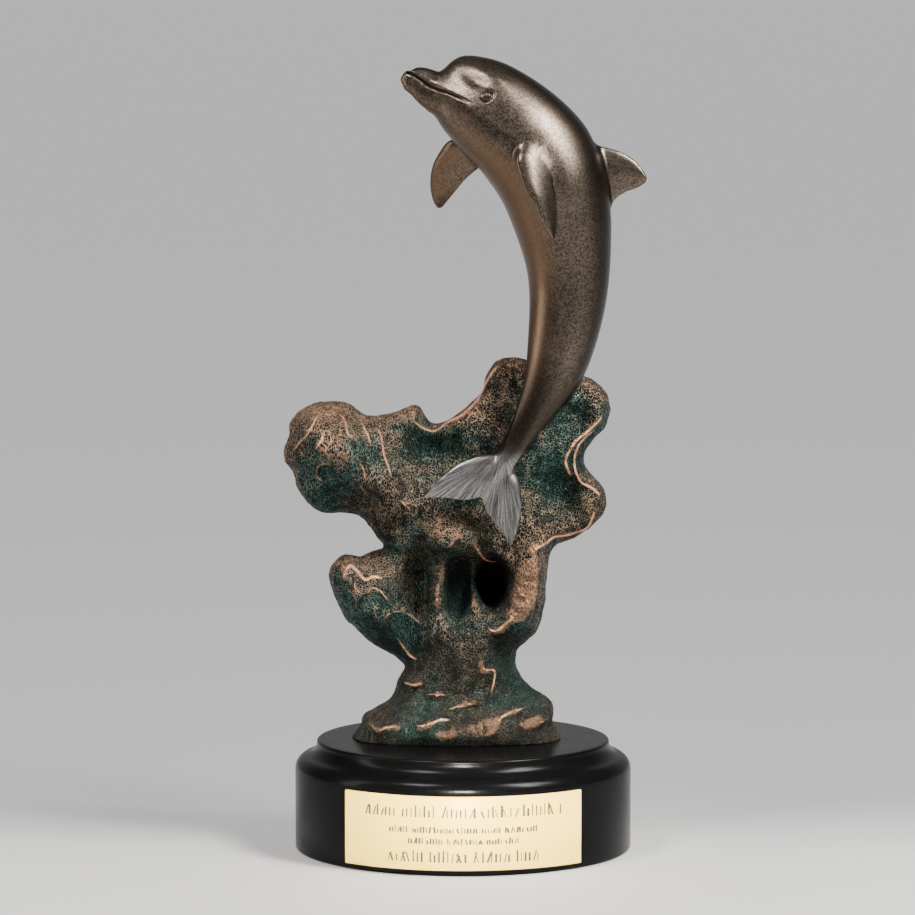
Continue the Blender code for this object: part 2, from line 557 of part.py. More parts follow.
def base_profile():
    """The base's outline from the middle of its top down to the middle of its underside."""
    outer = BASE_DIAMETER / 2
    top = outer - SHOULDER_INSET
    rise = SHOULDER_RISE - TOP_EDGE_RADIUS
    wall_top = BASE_HEIGHT - SHOULDER_RISE
    bend = 2 * math.atan2(SHOULDER_INSET, rise)
    radius = rise / math.sin(bend) / 2
    points = [(0, BASE_HEIGHT)]
    for turn in (0, 45, 90):
        back_in = TOP_EDGE_RADIUS * (1 - math.sin(math.radians(turn)))
        down = TOP_EDGE_RADIUS * (1 - math.cos(math.radians(turn)))
        points.append((top - back_in, BASE_HEIGHT - down))
    for k in range(1, SHOULDER_STEPS + 1):
        turn = bend * k / SHOULDER_STEPS
        points.append((top + radius * (1 - math.cos(turn)), wall_top + rise - radius * math.sin(turn)))
    for k in range(1, SHOULDER_STEPS + 1):
        turn = bend * (1 - k / SHOULDER_STEPS)
        points.append((outer - radius * (1 - math.cos(turn)), wall_top + radius * math.sin(turn)))
    return points + [(outer, FOOT_BEVEL), (outer - FOOT_BEVEL, 0), (0, 0)]


def build_base(look):
    """The turned base, its profile swept round the middle."""
    points = [(x, 0, z) for x, z in base_profile()]
    mesh = bpy.data.meshes.new("base")
    mesh.from_pydata(points, [(i, i + 1) for i in range(len(points) - 1)], [])
    base = object_from(mesh, "base", look)
    turned = base.modifiers.new("turned", "SCREW")
    turned.steps = BASE_STEPS
    turned.render_steps = BASE_STEPS
    turned.use_merge_vertices = True
    turned.merge_threshold = 0.00001
    turned.use_smooth_shade = True
    return base


def build_nameplate(look):
    """A thin plate bent round the front of the base."""
    inner = BASE_DIAMETER / 2 + SEAT_GAP
    outer = inner + PLATE_THICKNESS
    low = PLATE_MARGIN_BELOW
    high = BASE_HEIGHT - SHOULDER_RISE - PLATE_MARGIN_ABOVE
    sweep = PLATE_WIDTH / outer
    rings = []
    for k in range(PLATE_STEPS + 1):
        turn = -math.pi / 2 + sweep * (k / PLATE_STEPS - 0.5)
        out = Vector((math.cos(turn), math.sin(turn), 0))
        corners = ((inner, low), (outer, low), (outer, high), (inner, high))
        rings.append([out * radius + Vector((0, 0, z)) for radius, z in corners])
    return object_from(loft(rings, "nameplate"), "nameplate", look)


def build_casting(look):
    """The dolphin and the coral as one solid, with a flat underside on the base."""
    casting = object_from(coral_mesh(), "dolphin_and_coral", look)
    softer = casting.modifiers.new("softer edges", "SMOOTH")
    softer.factor = 0.5
    softer.iterations = SMOOTHING_STEPS
    fewer = casting.modifiers.new("fewer faces", "DECIMATE")
    fewer.ratio = CORAL_KEEP
    below = bmesh.new()
    bmesh.ops.create_cube(below, size=CUTTER_SIZE, matrix=Matrix.Translation((0, 0, -CUTTER_SIZE / 2)))
    shapes = [
        (mesh_from(below, "below the foot"), "cut_below", "DIFFERENCE"),
        (body_mesh(), "body_form", "UNION"),
        (fluke_mesh(), "fluke_form", "UNION"),
        (blade_mesh(DORSAL_FIN, "dorsal fin"), "dorsal_fin_form", "UNION"),
        (blade_mesh(RIGHT_FIN, "right fin"), "right_fin_form", "UNION"),
        (blade_mesh(LEFT_FIN, "left fin"), "left_fin_form", "UNION"),
        (eye_mesh(EYE_ANGLE, "left eye"), "left_eye_form", "UNION"),
        (eye_mesh(180 - EYE_ANGLE, "right eye"), "right_eye_form", "UNION"),
    ]
    pieces = [casting]
    for mesh, name, operation in shapes:
        step = casting.modifiers.new(name, "BOOLEAN")
        step.operation = operation
        step.object = as_helper(object_from(mesh, name))
        pieces.append(step.object)
    for piece in pieces:
        piece.scale = (UNIT, UNIT, UNIT)
        piece.location.z = BASE_HEIGHT + SEAT_GAP
    return casting


def main():
    for obj in list(bpy.data.objects):
        bpy.data.objects.remove(obj)
    build_base(material("black satin lacquer", (0.012, 0.012, 0.012), 0.32, 0.0))
    build_nameplate(material("satin brass", (0.80, 0.64, 0.35), 0.35, 1.0))
    build_casting(material("bronze patina", (0.11, 0.075, 0.05), 0.42, 0.85))


main()
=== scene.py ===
# The looks of a dolphin trophy: one bronze casting of a dolphin over a carved coral head, on a
# turned black base with a curved gold-coloured plate. Everything is in metres, +Z up.
import json
import math

import bmesh
import bpy
import numpy as np
from mathutils import Matrix, Vector, kdtree, noise

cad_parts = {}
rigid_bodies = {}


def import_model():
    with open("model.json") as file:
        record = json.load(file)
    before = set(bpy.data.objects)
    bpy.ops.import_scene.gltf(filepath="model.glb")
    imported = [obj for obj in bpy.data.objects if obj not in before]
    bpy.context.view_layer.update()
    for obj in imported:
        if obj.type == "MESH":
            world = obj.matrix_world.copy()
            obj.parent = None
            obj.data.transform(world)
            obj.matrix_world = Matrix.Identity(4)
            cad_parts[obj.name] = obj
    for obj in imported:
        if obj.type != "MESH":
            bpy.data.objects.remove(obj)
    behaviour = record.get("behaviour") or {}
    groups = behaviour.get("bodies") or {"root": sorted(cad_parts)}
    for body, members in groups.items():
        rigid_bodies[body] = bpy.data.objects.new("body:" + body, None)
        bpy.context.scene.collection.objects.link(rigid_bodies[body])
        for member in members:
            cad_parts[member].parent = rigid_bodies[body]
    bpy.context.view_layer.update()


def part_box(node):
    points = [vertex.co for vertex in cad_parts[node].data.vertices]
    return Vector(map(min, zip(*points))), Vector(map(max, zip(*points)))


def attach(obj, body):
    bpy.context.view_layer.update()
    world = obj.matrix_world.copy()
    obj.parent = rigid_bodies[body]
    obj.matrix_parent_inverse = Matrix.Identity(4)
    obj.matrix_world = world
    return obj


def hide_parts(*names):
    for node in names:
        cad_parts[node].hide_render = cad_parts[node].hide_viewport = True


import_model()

mm = 0.001
axisX, axisY = 0.0, 0.0  # the base's own axis
castLow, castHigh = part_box("dolphin_and_coral")
hundredth = (castHigh.z - castLow.z) / 100  # of the casting's height


# Small helpers


def addObject(name, mesh):
    made = bpy.data.objects.new(name, mesh)
    bpy.context.scene.collection.objects.link(made)
    return made


def bakedMesh(obj):
    # what the object's modifiers make of it, as a plain mesh
    bpy.context.view_layer.update()
    mesh = bpy.data.meshes.new_from_object(obj.evaluated_get(bpy.context.evaluated_depsgraph_get()))
    bpy.data.objects.remove(obj)
    return mesh


def readPoints(mesh):
    points = np.empty(len(mesh.vertices) * 3, np.float32)
    mesh.vertices.foreach_get("co", points)
    return points.reshape(-1, 3).astype(float)


def readNormals(mesh):
    normals = np.empty(len(mesh.vertices) * 3, np.float32)
    mesh.vertex_normals.foreach_get("vector", normals)
    return normals.reshape(-1, 3).astype(float)


def writePoints(mesh, points):
    mesh.vertices.foreach_set("co", points.astype(np.float32).ravel())
    mesh.update()


def readEdges(mesh):
    edges = np.empty(len(mesh.edges) * 2, np.int32)
    mesh.edges.foreach_get("vertices", edges)
    return edges.reshape(-1, 2)


def storeMask(mesh, name, values):
    mask = mesh.attributes.new(name, "FLOAT", "POINT")
    mask.data.foreach_set("value", values.astype(np.float32))


def relaxed(values, edges, passes, share):
    # each value drifts towards the mean of its neighbours
    count = np.maximum(np.bincount(edges.ravel(), minlength=len(values)), 1)[:, None]
    first, second = edges.T
    for _ in range(passes):
        mean = np.empty_like(values)
        for k in range(values.shape[1]):
            mean[:, k] = np.bincount(first, values[second, k], len(values))
            mean[:, k] += np.bincount(second, values[first, k], len(values))
        values = values + share * (mean / count - values)
    return values


def smoothLine(points, steps, closed):
    # a Catmull-Rom curve through the points
    points = np.asarray(points, float)
    count = len(points)
    line = []
    for i in range(count if closed else count - 1):
        corners = [i - 1, i, i + 1, i + 2]
        corners = [c % count for c in corners] if closed else np.clip(corners, 0, count - 1)
        a, b, c, d = points[corners]
        for step in range(steps):
            t = step / steps
            bend = (2 * a - 5 * b + 4 * c - d) * t**2 + (3 * b - a - 3 * c + d) * t**3
            line.append(0.5 * (2 * b + (c - a) * t + bend))
    if not closed:
        line.append(points[-1])
    return np.array(line)


def meshFrom(shape, name):
    mesh = bpy.data.meshes.new(name)
    shape.to_mesh(mesh)
    shape.free()
    return mesh


def loft(rings, name):
    # a closed mesh through rings of equal count, with a face over each end
    shell = bmesh.new()
    loops = [[shell.verts.new(point) for point in ring] for ring in rings]
    for ring, following in zip(loops, loops[1:]):
        for i in range(len(ring)):
            after = (i + 1) % len(ring)
            shell.faces.new((ring[i], ring[after], following[after], following[i]))
    shell.faces.new(loops[0][::-1])
    shell.faces.new(loops[-1])
    bmesh.ops.triangulate(shell, faces=shell.faces[:])
    bmesh.ops.recalc_face_normals(shell, faces=shell.faces[:])
    return meshFrom(shell, name)


# The coral head, drawn from the front in hundredths of the casting's height

coral = {
    "rimWidth": 3.9,  # how far in from its outline the coral is rounded
    "front": 4.4,
    "back": 5.0,
    "least": 1.6,
    "coarseGrain": 0.8,
    "fineGrain": 0.25,
    "mapStep": 0.12,
    "shareKept": 0.7,
    "lineWidth": 0.28,  # of the bare metal along a ridge
    "wrinkleHeight": 0.16,
    "dentHeight": 0.22,
    "grit": 0.08,
    "backRim": 0.7,
}
coralOutline = [
    (-15.0, -3.0), (-14.9, 1.8), (-14.3, 3.4), (-12.8, 4.4), (-11.0, 5.5), (-10.1, 6.8), (-9.6, 8.6),
    (-8.7, 10.4), (-9.8, 11.7), (-11.6, 13.0), (-13.7, 14.5), (-15.7, 16.1), (-17.3, 18.1), (-18.6, 20.4),
    (-19.5, 22.7), (-19.5, 24.7), (-18.6, 26.3), (-17.2, 27.1), (-15.1, 26.8), (-13.3, 27.5), (-11.6, 28.4),
    (-12.8, 29.9), (-13.9, 31.7), (-15.4, 33.0), (-18.0, 33.3), (-20.7, 33.4), (-22.7, 34.6), (-24.0, 36.5),
    (-24.5, 38.3), (-25.2, 39.8), (-26.2, 41.2), (-26.2, 43.0), (-25.5, 44.5), (-25.2, 46.4), (-24.0, 48.1),
    (-21.8, 49.4), (-19.2, 49.8), (-16.8, 49.5), (-15.2, 48.2), (-13.6, 47.5), (-11.3, 47.7), (-9.2, 48.4),
    (-7.5, 49.1), (-6.3, 48.9), (-5.6, 47.5), (-4.4, 46.5), (-2.5, 46.8), (-0.4, 48.1), (1.5, 49.7),
    (2.9, 51.4), (3.4, 53.3), (4.4, 55.2), (5.8, 56.0), (8.3, 56.0), (12.0, 54.9), (15.6, 54.0),
    (18.3, 53.1), (20.0, 52.2), (21.2, 50.8), (21.5, 48.7), (21.1, 46.5), (19.7, 44.8), (18.3, 43.1),
    (17.7, 41.4), (18.3, 39.6), (19.6, 38.1), (20.8, 36.4), (21.1, 34.3), (20.2, 32.4), (18.3, 30.8),
    (16.0, 29.6), (13.9, 28.7), (12.8, 26.9), (12.3, 24.6), (12.2, 21.9), (12.0, 19.8), (11.5, 17.8),
    (10.7, 15.7), (9.3, 14.4), (7.9, 13.0), (7.9, 11.0), (8.7, 8.9), (10.1, 7.3), (12.1, 6.1),
    (13.1, 4.7), (13.1, 2.3), (13.0, -3.0),
]
# Swellings (+) and hollows (-): centre x and z, radii, tilt in degrees, height
frontForms = {
    "knob": (-19.4, 42.3, 6.2, 7.6, 0, 4.0),
    "fold of the knob": (-20.4, 38.6, 2.2, 4.0, -20, -1.4),
    "under the knob": (-16.2, 35.4, 4.4, 1.8, 0, -1.2),
    "arm of the knob": (-11.5, 37.2, 9.0, 3.2, 42, 2.4),
    "upper dish": (-4.8, 42.9, 5.4, 4.4, -18, -3.6),
    "behind the tail": (6.0, 50.3, 4.2, 6.5, 20, -1.2),
    "behind the flukes": (4.6, 36.6, 6.4, 4.6, -40, -2.0),
    "upper right dish": (16.6, 48.0, 2.8, 4.0, 20, -1.7),
    "right dish": (14.6, 36.6, 3.6, 6.0, 12, -3.4),
    "brow": (-0.8, 30.7, 5.4, 3.2, -8, 3.7),
    "brow, right": (10.2, 27.0, 3.0, 4.4, 10, 2.2),
    "curl": (9.2, 20.8, 3.2, 6.0, 8, 3.6),
    "chin": (6.2, 16.4, 3.4, 2.2, 10, 1.3),
    "valley": (-6.6, 22.5, 2.2, 7.6, 6, -2.8),
    "leaf": (-14.6, 21.8, 5.0, 6.0, -25, 3.4),
    "waist": (-6.3, 12.9, 2.9, 2.9, 30, -1.2),
    "trunk": (0.2, 11.5, 5.0, 8.8, 0, 1.8),
    "recess by the trunk": (6.6, 11.0, 2.0, 3.6, 0, -1.4),
    "foot": (-0.7, 1.2, 16.2, 3.9, 0, 3.9),
    "foot, left lobe": (-11.6, 2.6, 2.9, 2.0, 0, 0.7),
    "foot, middle lobe": (-3.6, 2.4, 4.4, 2.3, 0, 1.5),
    "foot, right lobe": (4.6, 2.8, 3.6, 2.4, 0, 1.2),
    "foot, last lobe": (11.2, 3.2, 2.4, 2.6, 0, 1.0),
}
backForms = {
    "knob": (-17.5, 41.5, 6.8, 6.8, 0, 1.8),
    "upper dish": (-6.0, 42.0, 5.5, 3.6, 12, -1.2),
    "right dish": (11.5, 45.5, 4.2, 5.2, 25, -2.0),
    "right lobe": (15.0, 34.5, 4.6, 4.6, 0, 1.2),
    "brow": (2.0, 33.0, 9.5, 5.0, -12, 2.0),
    "hollow": (8.5, 24.0, 2.4, 4.4, -8, -2.4),
    "valley": (-6.5, 22.0, 2.0, 6.4, 12, -1.4),
    "leaf": (-13.5, 21.5, 5.2, 5.2, -25, 1.2),
    "trunk": (1.5, 14.0, 6.2, 9.5, 0, 1.8),
    "foot": (-0.7, 1.2, 16.2, 3.8, 0, 3.2),
}
# Hollows with steep walls: centre x and z, radii, tilt, height
frontWells = {
    "deep hollow": (4.3, 23.3, 2.2, 3.2, 0, -7.5),
    "long hollow": (-0.7, 22.4, 1.9, 4.4, 3, -3.6),
}
# Ridges of the front, as seen from the camera: their run in x and z, the widths of their left and right
# slopes, height, and how much of the crest is rubbed bare
frontRidges = {
    "top rim": (
        [(-8.1, 47.6), (-6.5, 46.2), (-4.3, 45.3), (-2.2, 46.5), (0.0, 47.6), (2.2, 49.8), (3.4, 52.3),
         (4.4, 53.9), (5.3, 54.8), (6.2, 54.8)], 0.6, 1.2, 0.8, 0.8),
    "right rim, inner": (
        [(20.8, 48.0), (19.6, 46.6), (17.9, 45.1), (16.5, 44.0), (15.6, 42.6), (15.0, 41.0), (15.5, 39.3),
         (16.3, 38.1)], 0.5, 1.3, 1.0, 1.0),
    "right rim, outer": (
        [(19.6, 45.8), (17.9, 44.4), (16.8, 43.1), (16.3, 41.4), (16.4, 39.8), (17.2, 37.9), (18.7, 37.0),
         (19.8, 36.0), (20.3, 34.8)], 0.8, 0.5, 0.8, 0.9),
    "lower right rim": (
        [(19.5, 34.2), (18.9, 32.5), (18.2, 30.9), (16.3, 30.2), (14.9, 29.9), (13.2, 29.7), (12.2, 28.9),
         (10.6, 28.1), (9.5, 26.7)], 0.6, 1.3, 1.0, 1.0),
    "curl, inner edge": (
        [(9.3, 26.9), (9.1, 25.2), (9.2, 23.9), (8.8, 22.5), (8.5, 20.8), (8.0, 19.3), (7.0, 17.9),
         (6.0, 16.9), (4.8, 16.1), (3.8, 16.4), (3.4, 17.3)], 0.9, 0.4, 0.8, 1.0),
    "curl, outer edge": (
        [(11.4, 26.9), (11.0, 24.9), (10.5, 22.5), (10.4, 20.0), (9.5, 16.7), (8.7, 15.7)],
        0.9, 0.6, 0.5, 0.6),
    "curl, notch": ([(4.1, 19.3), (6.1, 18.9)], 0.4, 0.3, 0.5, 0.9),
    "brow crease": ([(0.4, 30.5), (-1.0, 29.6), (-1.8, 28.8), (-3.2, 27.7)], 0.6, 0.4, 0.35, 0.9),
    "edge of the deep hollow": (
        [(1.5, 30.0), (1.5, 29.0), (2.4, 27.6), (3.2, 26.6), (4.1, 26.2), (6.0, 26.1)], 0.8, 0.4, 0.7, 0.9),
    "edge of the long hollow": (
        [(-1.2, 26.4), (-2.4, 24.9), (-3.0, 23.4), (-3.5, 21.8), (-3.9, 19.8), (-3.7, 18.3)],
        0.6, 1.1, 0.7, 0.5),
    "knob, edge of the pale side": (
        [(-19.7, 48.6), (-21.2, 47.4), (-21.8, 46.2), (-22.9, 44.5), (-23.9, 43.5), (-25.0, 41.6)],
        0.5, 0.7, 0.4, 0.8),
    "knob, left fold": ([(-19.1, 46.0), (-20.2, 45.0), (-20.7, 43.7), (-22.0, 42.0)], 0.5, 0.4, 0.35, 0.9),
    "knob, inner fold": ([(-18.3, 48.4), (-17.1, 46.5), (-16.7, 44.8), (-15.1, 43.7)], 0.6, 0.4, 0.4, 0.8),
    "knob, middle fold": ([(-15.6, 47.1), (-14.1, 45.2), (-13.5, 43.5), (-13.2, 42.0)], 0.5, 0.5, 0.4, 0.8),
    "knob, right fold": (
        [(-13.8, 46.0), (-12.1, 45.0), (-11.6, 42.3), (-10.9, 40.1), (-10.1, 37.7)], 0.9, 0.5, 0.5, 0.8),
    "knob, short crease": ([(-18.0, 42.6), (-17.0, 41.3), (-16.3, 40.4)], 0.4, 0.4, 0.3, 0.9),
    "knob, bent crease": ([(-15.8, 40.9), (-14.6, 40.1), (-14.1, 38.2), (-13.2, 37.7)], 0.5, 0.4, 0.35, 0.8),
    "knob, corner": ([(-18.0, 40.5), (-20.9, 40.4), (-21.1, 38.4), (-19.0, 37.7)], 0.4, 0.4, 0.3, 0.7),
    "arm, long crease": ([(-16.6, 39.9), (-15.1, 37.7), (-14.1, 36.2), (-13.4, 34.8)], 0.6, 0.5, 0.4, 0.7),
    "arm, lower crease": ([(-9.9, 36.0), (-8.7, 34.8), (-7.7, 33.8), (-7.6, 32.6)], 0.6, 0.5, 0.4, 0.8),
    "leaf rim": (
        [(-17.5, 22.9), (-17.4, 24.1), (-16.6, 25.4), (-15.5, 24.8), (-14.3, 23.6), (-13.0, 24.0),
         (-11.8, 23.7), (-11.2, 23.0)], 0.5, 0.8, 0.6, 1.0),
    "leaf, wavy vein": (
        [(-16.6, 24.2), (-15.8, 23.5), (-15.7, 22.4), (-14.8, 21.7), (-13.9, 21.8), (-13.2, 22.4),
         (-12.1, 22.0), (-11.2, 20.9), (-10.1, 19.9)], 0.5, 0.5, 0.4, 0.8),
    "leaf, long vein": (
        [(-18.4, 22.4), (-16.7, 22.0), (-15.8, 21.2), (-15.5, 20.3), (-15.8, 19.0), (-15.9, 17.9)],
        0.5, 0.4, 0.4, 0.7),
    "leaf, short vein": ([(-15.2, 19.7), (-14.2, 19.0), (-13.3, 18.4)], 0.4, 0.3, 0.3, 0.9),
    "leaf, hook": (
        [(-11.9, 19.9), (-12.6, 19.7), (-12.8, 18.7), (-12.8, 17.5), (-12.4, 16.7)], 0.4, 0.4, 0.3, 0.6),
    "leaf, shell": (
        [(-11.8, 16.3), (-11.5, 17.8), (-10.7, 18.6), (-9.2, 19.0), (-8.0, 18.4), (-6.8, 17.5), (-5.9, 16.7),
         (-5.5, 15.8)], 0.4, 0.9, 0.6, 0.7),
    "leaf, lower vein": (
        [(-9.9, 15.6), (-9.1, 14.1), (-8.3, 12.9), (-7.6, 12.1), (-6.0, 11.3)], 0.5, 0.4, 0.4, 0.9),
    "leaf, lower edge": ([(-11.5, 13.1), (-10.0, 12.5), (-8.3, 11.7), (-6.8, 11.1)], 0.7, 0.4, 0.5, 0.5),
    "column, right edge": (
        [(3.7, 12.6), (2.8, 11.3), (3.2, 10.4), (4.6, 10.2), (4.5, 8.5), (4.1, 6.9), (3.8, 5.9)],
        0.4, 0.8, 0.6, 0.8),
    "column, left edge": ([(3.1, 9.5), (2.7, 8.0), (2.6, 6.7)], 0.5, 0.5, 0.3, 0.5),
    "top ledge": ([(-9.6, 8.0), (-8.4, 8.1), (-6.7, 8.1), (-5.0, 8.8)], 0.9, 0.35, 1.2, 0.9),
    "middle ledge": ([(-6.0, 6.9), (-4.3, 6.6), (-3.0, 6.6), (-1.7, 6.8)], 0.9, 0.4, 1.1, 0.9),
    "lower ledge": ([(-8.2, 5.3), (-7.3, 5.2), (-6.4, 5.0), (-5.8, 5.1)], 0.8, 0.35, 0.8, 0.8),
    "slanting ledge": ([(-3.0, 4.1), (-1.3, 4.8), (0.9, 5.3), (3.7, 5.6)], 0.9, 0.4, 1.0, 0.8),
    "foot, left edge": (
        [(-14.7, 2.6), (-13.6, 2.0), (-12.5, 1.4), (-11.0, 1.9), (-9.5, 2.1), (-8.4, 2.3)],
        1.1, 0.5, 0.9, 0.8),
    "foot, middle edge": (
        [(-7.3, 3.0), (-6.5, 2.1), (-5.2, 2.3), (-3.4, 3.0), (-2.1, 3.0), (-1.1, 3.3)], 1.1, 0.5, 1.1, 0.9),
    "foot, right edge": (
        [(0.0, 2.0), (1.8, 1.9), (3.5, 2.0), (4.8, 2.6), (6.1, 3.7), (7.8, 4.3), (9.6, 5.0)],
        1.1, 0.5, 1.1, 0.9),
    "foot, last edge": ([(7.4, 2.8), (8.7, 2.4), (10.6, 2.4), (12.2, 2.8), (12.8, 3.9)], 0.9, 0.5, 0.9, 0.8),
}


def lineDistance(x, z, line, closed):
    # how far each point of the front view is from a line of short straight runs, less than 0 on its right
    starts = line if closed else line[:-1]
    ends = np.roll(line, -1, axis=0) if closed else line[1:]
    nearest, side = np.full(x.shape, np.inf), np.zeros(x.shape)
    for (ax, az), (bx, bz) in zip(starts, ends):
        runX, runZ = bx - ax, bz - az
        share = np.clip(((x - ax) * runX + (z - az) * runZ) / (runX**2 + runZ**2), 0, 1)
        away = (x - ax - share * runX) ** 2 + (z - az - share * runZ) ** 2
        closer = away < nearest
        nearest[closer] = away[closer]
        side[closer] = (runX * (z - az) - runZ * (x - ax))[closer]
    return np.copysign(np.sqrt(nearest), side)


def insideOutline(x, z, outline):
    inside = np.zeros(x.shape, bool)
    for (ax, az), (bx, bz) in zip(outline, np.roll(outline, 1, axis=0)):
        if az != bz:
            inside ^= ((az > z) != (bz > z)) & (x < (bx - ax) * (z - az) / (bz - az) + ax)
    return inside


def spread(x, z, form):
    # the square of the distance from a form's centre, 1 at its radii
    turn = math.radians(-form[4])
    across, up = x - form[0], z - form[1]
    u = (across * math.cos(turn) + up * math.sin(turn)) / form[2]
    v = (up * math.cos(turn) - across * math.sin(turn)) / form[3]
    return u**2 + v**2


def swelling(x, z, form):
    return form[5] * np.exp(-1.2 * spread(x, z, form))


def well(x, z, form):
    # as a swelling, with a flatter floor and steeper walls
    return form[5] * np.exp(-((0.8 * spread(x, z, form)) ** 2))


def unevenness(x, z):
    # slow waves, as of a surface shaped by hand
    slow = np.sin(0.47 * x + 0.31 * z + 1.2 * np.sin(0.21 * z + 1)) * np.sin(0.44 * z - 0.23 * x + 0.4)
    quick = np.sin(0.9 * x - 0.53 * z + 1.1 * np.sin(0.35 * x)) * np.sin(0.81 * z + 0.4 * x + 0.7)
    return 0.35 * slow + 0.14 * quick


def frontHeight(x, z):
    # how far the front stands out before its ridges
    height = coral["front"] + unevenness(x, z)
    for form in frontForms.values():
        height += swelling(x, z, form)
    for form in frontWells.values():
        height += well(x, z, form)
    return height


def asSeen(run):
    # the camera looks down, so a line on a thick part was seen lower than it lies
    line = smoothLine(run, 4, False)
    line[:, 1] += math.tan(math.radians(camera["dip"])) * frontHeight(line[:, 0], line[:, 1])
    return line


def addRidge(maps, x, z, run, left, right, top, bare):
    # a crest with two slopes, and fading out at its two ends, with bare metal along it
    line = asSeen(run)
    reach = 3.5 * max(left, right)
    low, high = line.min(0) - reach, line.max(0) + reach
    near = (x > low[0]) & (x < high[0]) & (z > low[1]) & (z < high[1])
    nearX, nearZ = x[near], z[near]
    across = lineDistance(nearX, nearZ, line, False)
    slope = np.sqrt((across / np.where(across > 0, left, right)) ** 2 + 0.04) - 0.2
    fromStart = np.hypot(nearX - line[0, 0], nearZ - line[0, 1])
    fromEnd = np.hypot(nearX - line[-1, 0], nearZ - line[-1, 1])
    shown = 1 - np.exp(-((np.minimum(fromStart, fromEnd) / 1.1) ** 2))
    maps["front"][near] += top * np.exp(-(slope**1.5)) * shown
    crest = bare * np.exp(-((across / coral["lineWidth"]) ** 2)) * np.sqrt(shown)
    maps["line"][near] = np.maximum(maps["line"][near], crest)


def coralMaps():
    # on a fine grid: the front's and the back's heights, the distance to the outline, the ridges'
    # crests and the depth of the hollows
    step = coral["mapStep"]
    startX, startZ = min(p[0] for p in coralOutline) - 3, min(p[1] for p in coralOutline) - 3
    endX, endZ = max(p[0] for p in coralOutline) + 3, max(p[1] for p in coralOutline) + 3
    x, z = np.meshgrid(np.arange(startX, endX, step), np.arange(startZ, endZ, step))
    outline = smoothLine(coralOutline, 3, True)
    depthIn = np.abs(lineDistance(x, z, outline, True))
    depthIn[~insideOutline(x, z, outline)] *= -1
    back = coral["back"] + unevenness(x + 20, z)
    for form in backForms.values():
        back += swelling(x, z, form)
    back += coral["backRim"] * np.exp(-(((depthIn - 2.6 - 0.9 * unevenness(x, z)) / 0.6) ** 2))
    pit = sum(-0.3 * swelling(x, z, form) for form in frontForms.values() if form[5] < -2)
    pit -= sum(well(x, z, form) for form in frontWells.values())
    maps = {"start": (startX, startZ), "depthIn": depthIn, "front": frontHeight(x, z), "back": back,
            "pit": pit, "line": np.zeros(x.shape)}
    for ridge in frontRidges.values():
        addRidge(maps, x, z, *ridge)
    return maps


def readMap(maps, name, x, z):
    # between the grid's points the map is read in proportion
    grid = maps[name]
    column = np.clip((x - maps["start"][0]) / coral["mapStep"], 0, grid.shape[1] - 1.001)
    row = np.clip((z - maps["start"][1]) / coral["mapStep"], 0, grid.shape[0] - 1.001)
    i, j = row.astype(int), column.astype(int)
    u, v = column - j, row - i
    low = grid[i, j] * (1 - u) + grid[i, j + 1] * u
    high = grid[i + 1, j] * (1 - u) + grid[i + 1, j + 1] * u
    return low * (1 - v) + high * v


def coralField(points, maps):
    # below 0 inside the coral, 0 on its surface
    x, y, z = points.T
    front, back = readMap(maps, "front", x, z), readMap(maps, "back", x, z)
    middle = (back - front) / 2
    halfThickness = np.maximum((front + back) / 2, coral["least"])
    fromRim = 1 - np.minimum(readMap(maps, "depthIn", x, z) / coral["rimWidth"], 1)
    return np.sqrt(fromRim**2 + ((y - middle) / halfThickness) ** 2) - 1


def carve(mesh, maps, passes):
    # moves the mesh's points along the field's slope until they lie on its surface
    points, nudge = readPoints(mesh), 0.03
    for _ in range(passes):
        value = coralField(points, maps)
        slope = np.empty_like(points)
        for k in range(3):
            step = np.zeros(3)
            step[k] = nudge
            slope[:, k] = (coralField(points + step, maps) - value) / nudge
        move = -(value / np.maximum((slope**2).sum(1), 1e-4))[:, None] * slope
        length = np.linalg.norm(move, axis=1)
        points += move * (np.minimum(length, 1) / np.maximum(length, 1e-9))[:, None]
    writePoints(mesh, points)


def evenlyGrained(mesh, grain):
    blank = addObject("coral blank", mesh)
    remesh = blank.modifiers.new("even grain", "REMESH")
    remesh.mode = "VOXEL"
    remesh.voxel_size = grain
    return bakedMesh(blank)


def roughen(mesh):
    # hand-worked dents, wandering wrinkles and grit, along the normals
    points = relaxed(readPoints(mesh), readEdges(mesh), 2, 0.5)
    writePoints(mesh, points)
    normals = readNormals(mesh)
    lift = np.empty(len(points))
    for i, p in enumerate(points):
        q = Vector(p)
        warp = noise.noise_vector(q * 0.16) * 2.2
        dent = noise.noise(q * 0.33 + Vector((7, 3, 1)))
        fold = 1 - abs(noise.noise(Vector((q.x * 0.36, q.y * 0.36, q.z * 0.24)) + warp * 0.5)) * 3.2
        patch = noise.noise(q * 0.14 + Vector((11, 5, 2))) + 0.25
        grit = noise.noise(q * 1.1 + Vector((2, 9, 4)))
        wrinkle = max(fold, 0) ** 2 * min(max(patch * 2.2, 0), 1)
        lift[i] = coral["dentHeight"] * dent + coral["wrinkleHeight"] * wrinkle + coral["grit"] * grit
    writePoints(mesh, points + normals * lift[:, None])


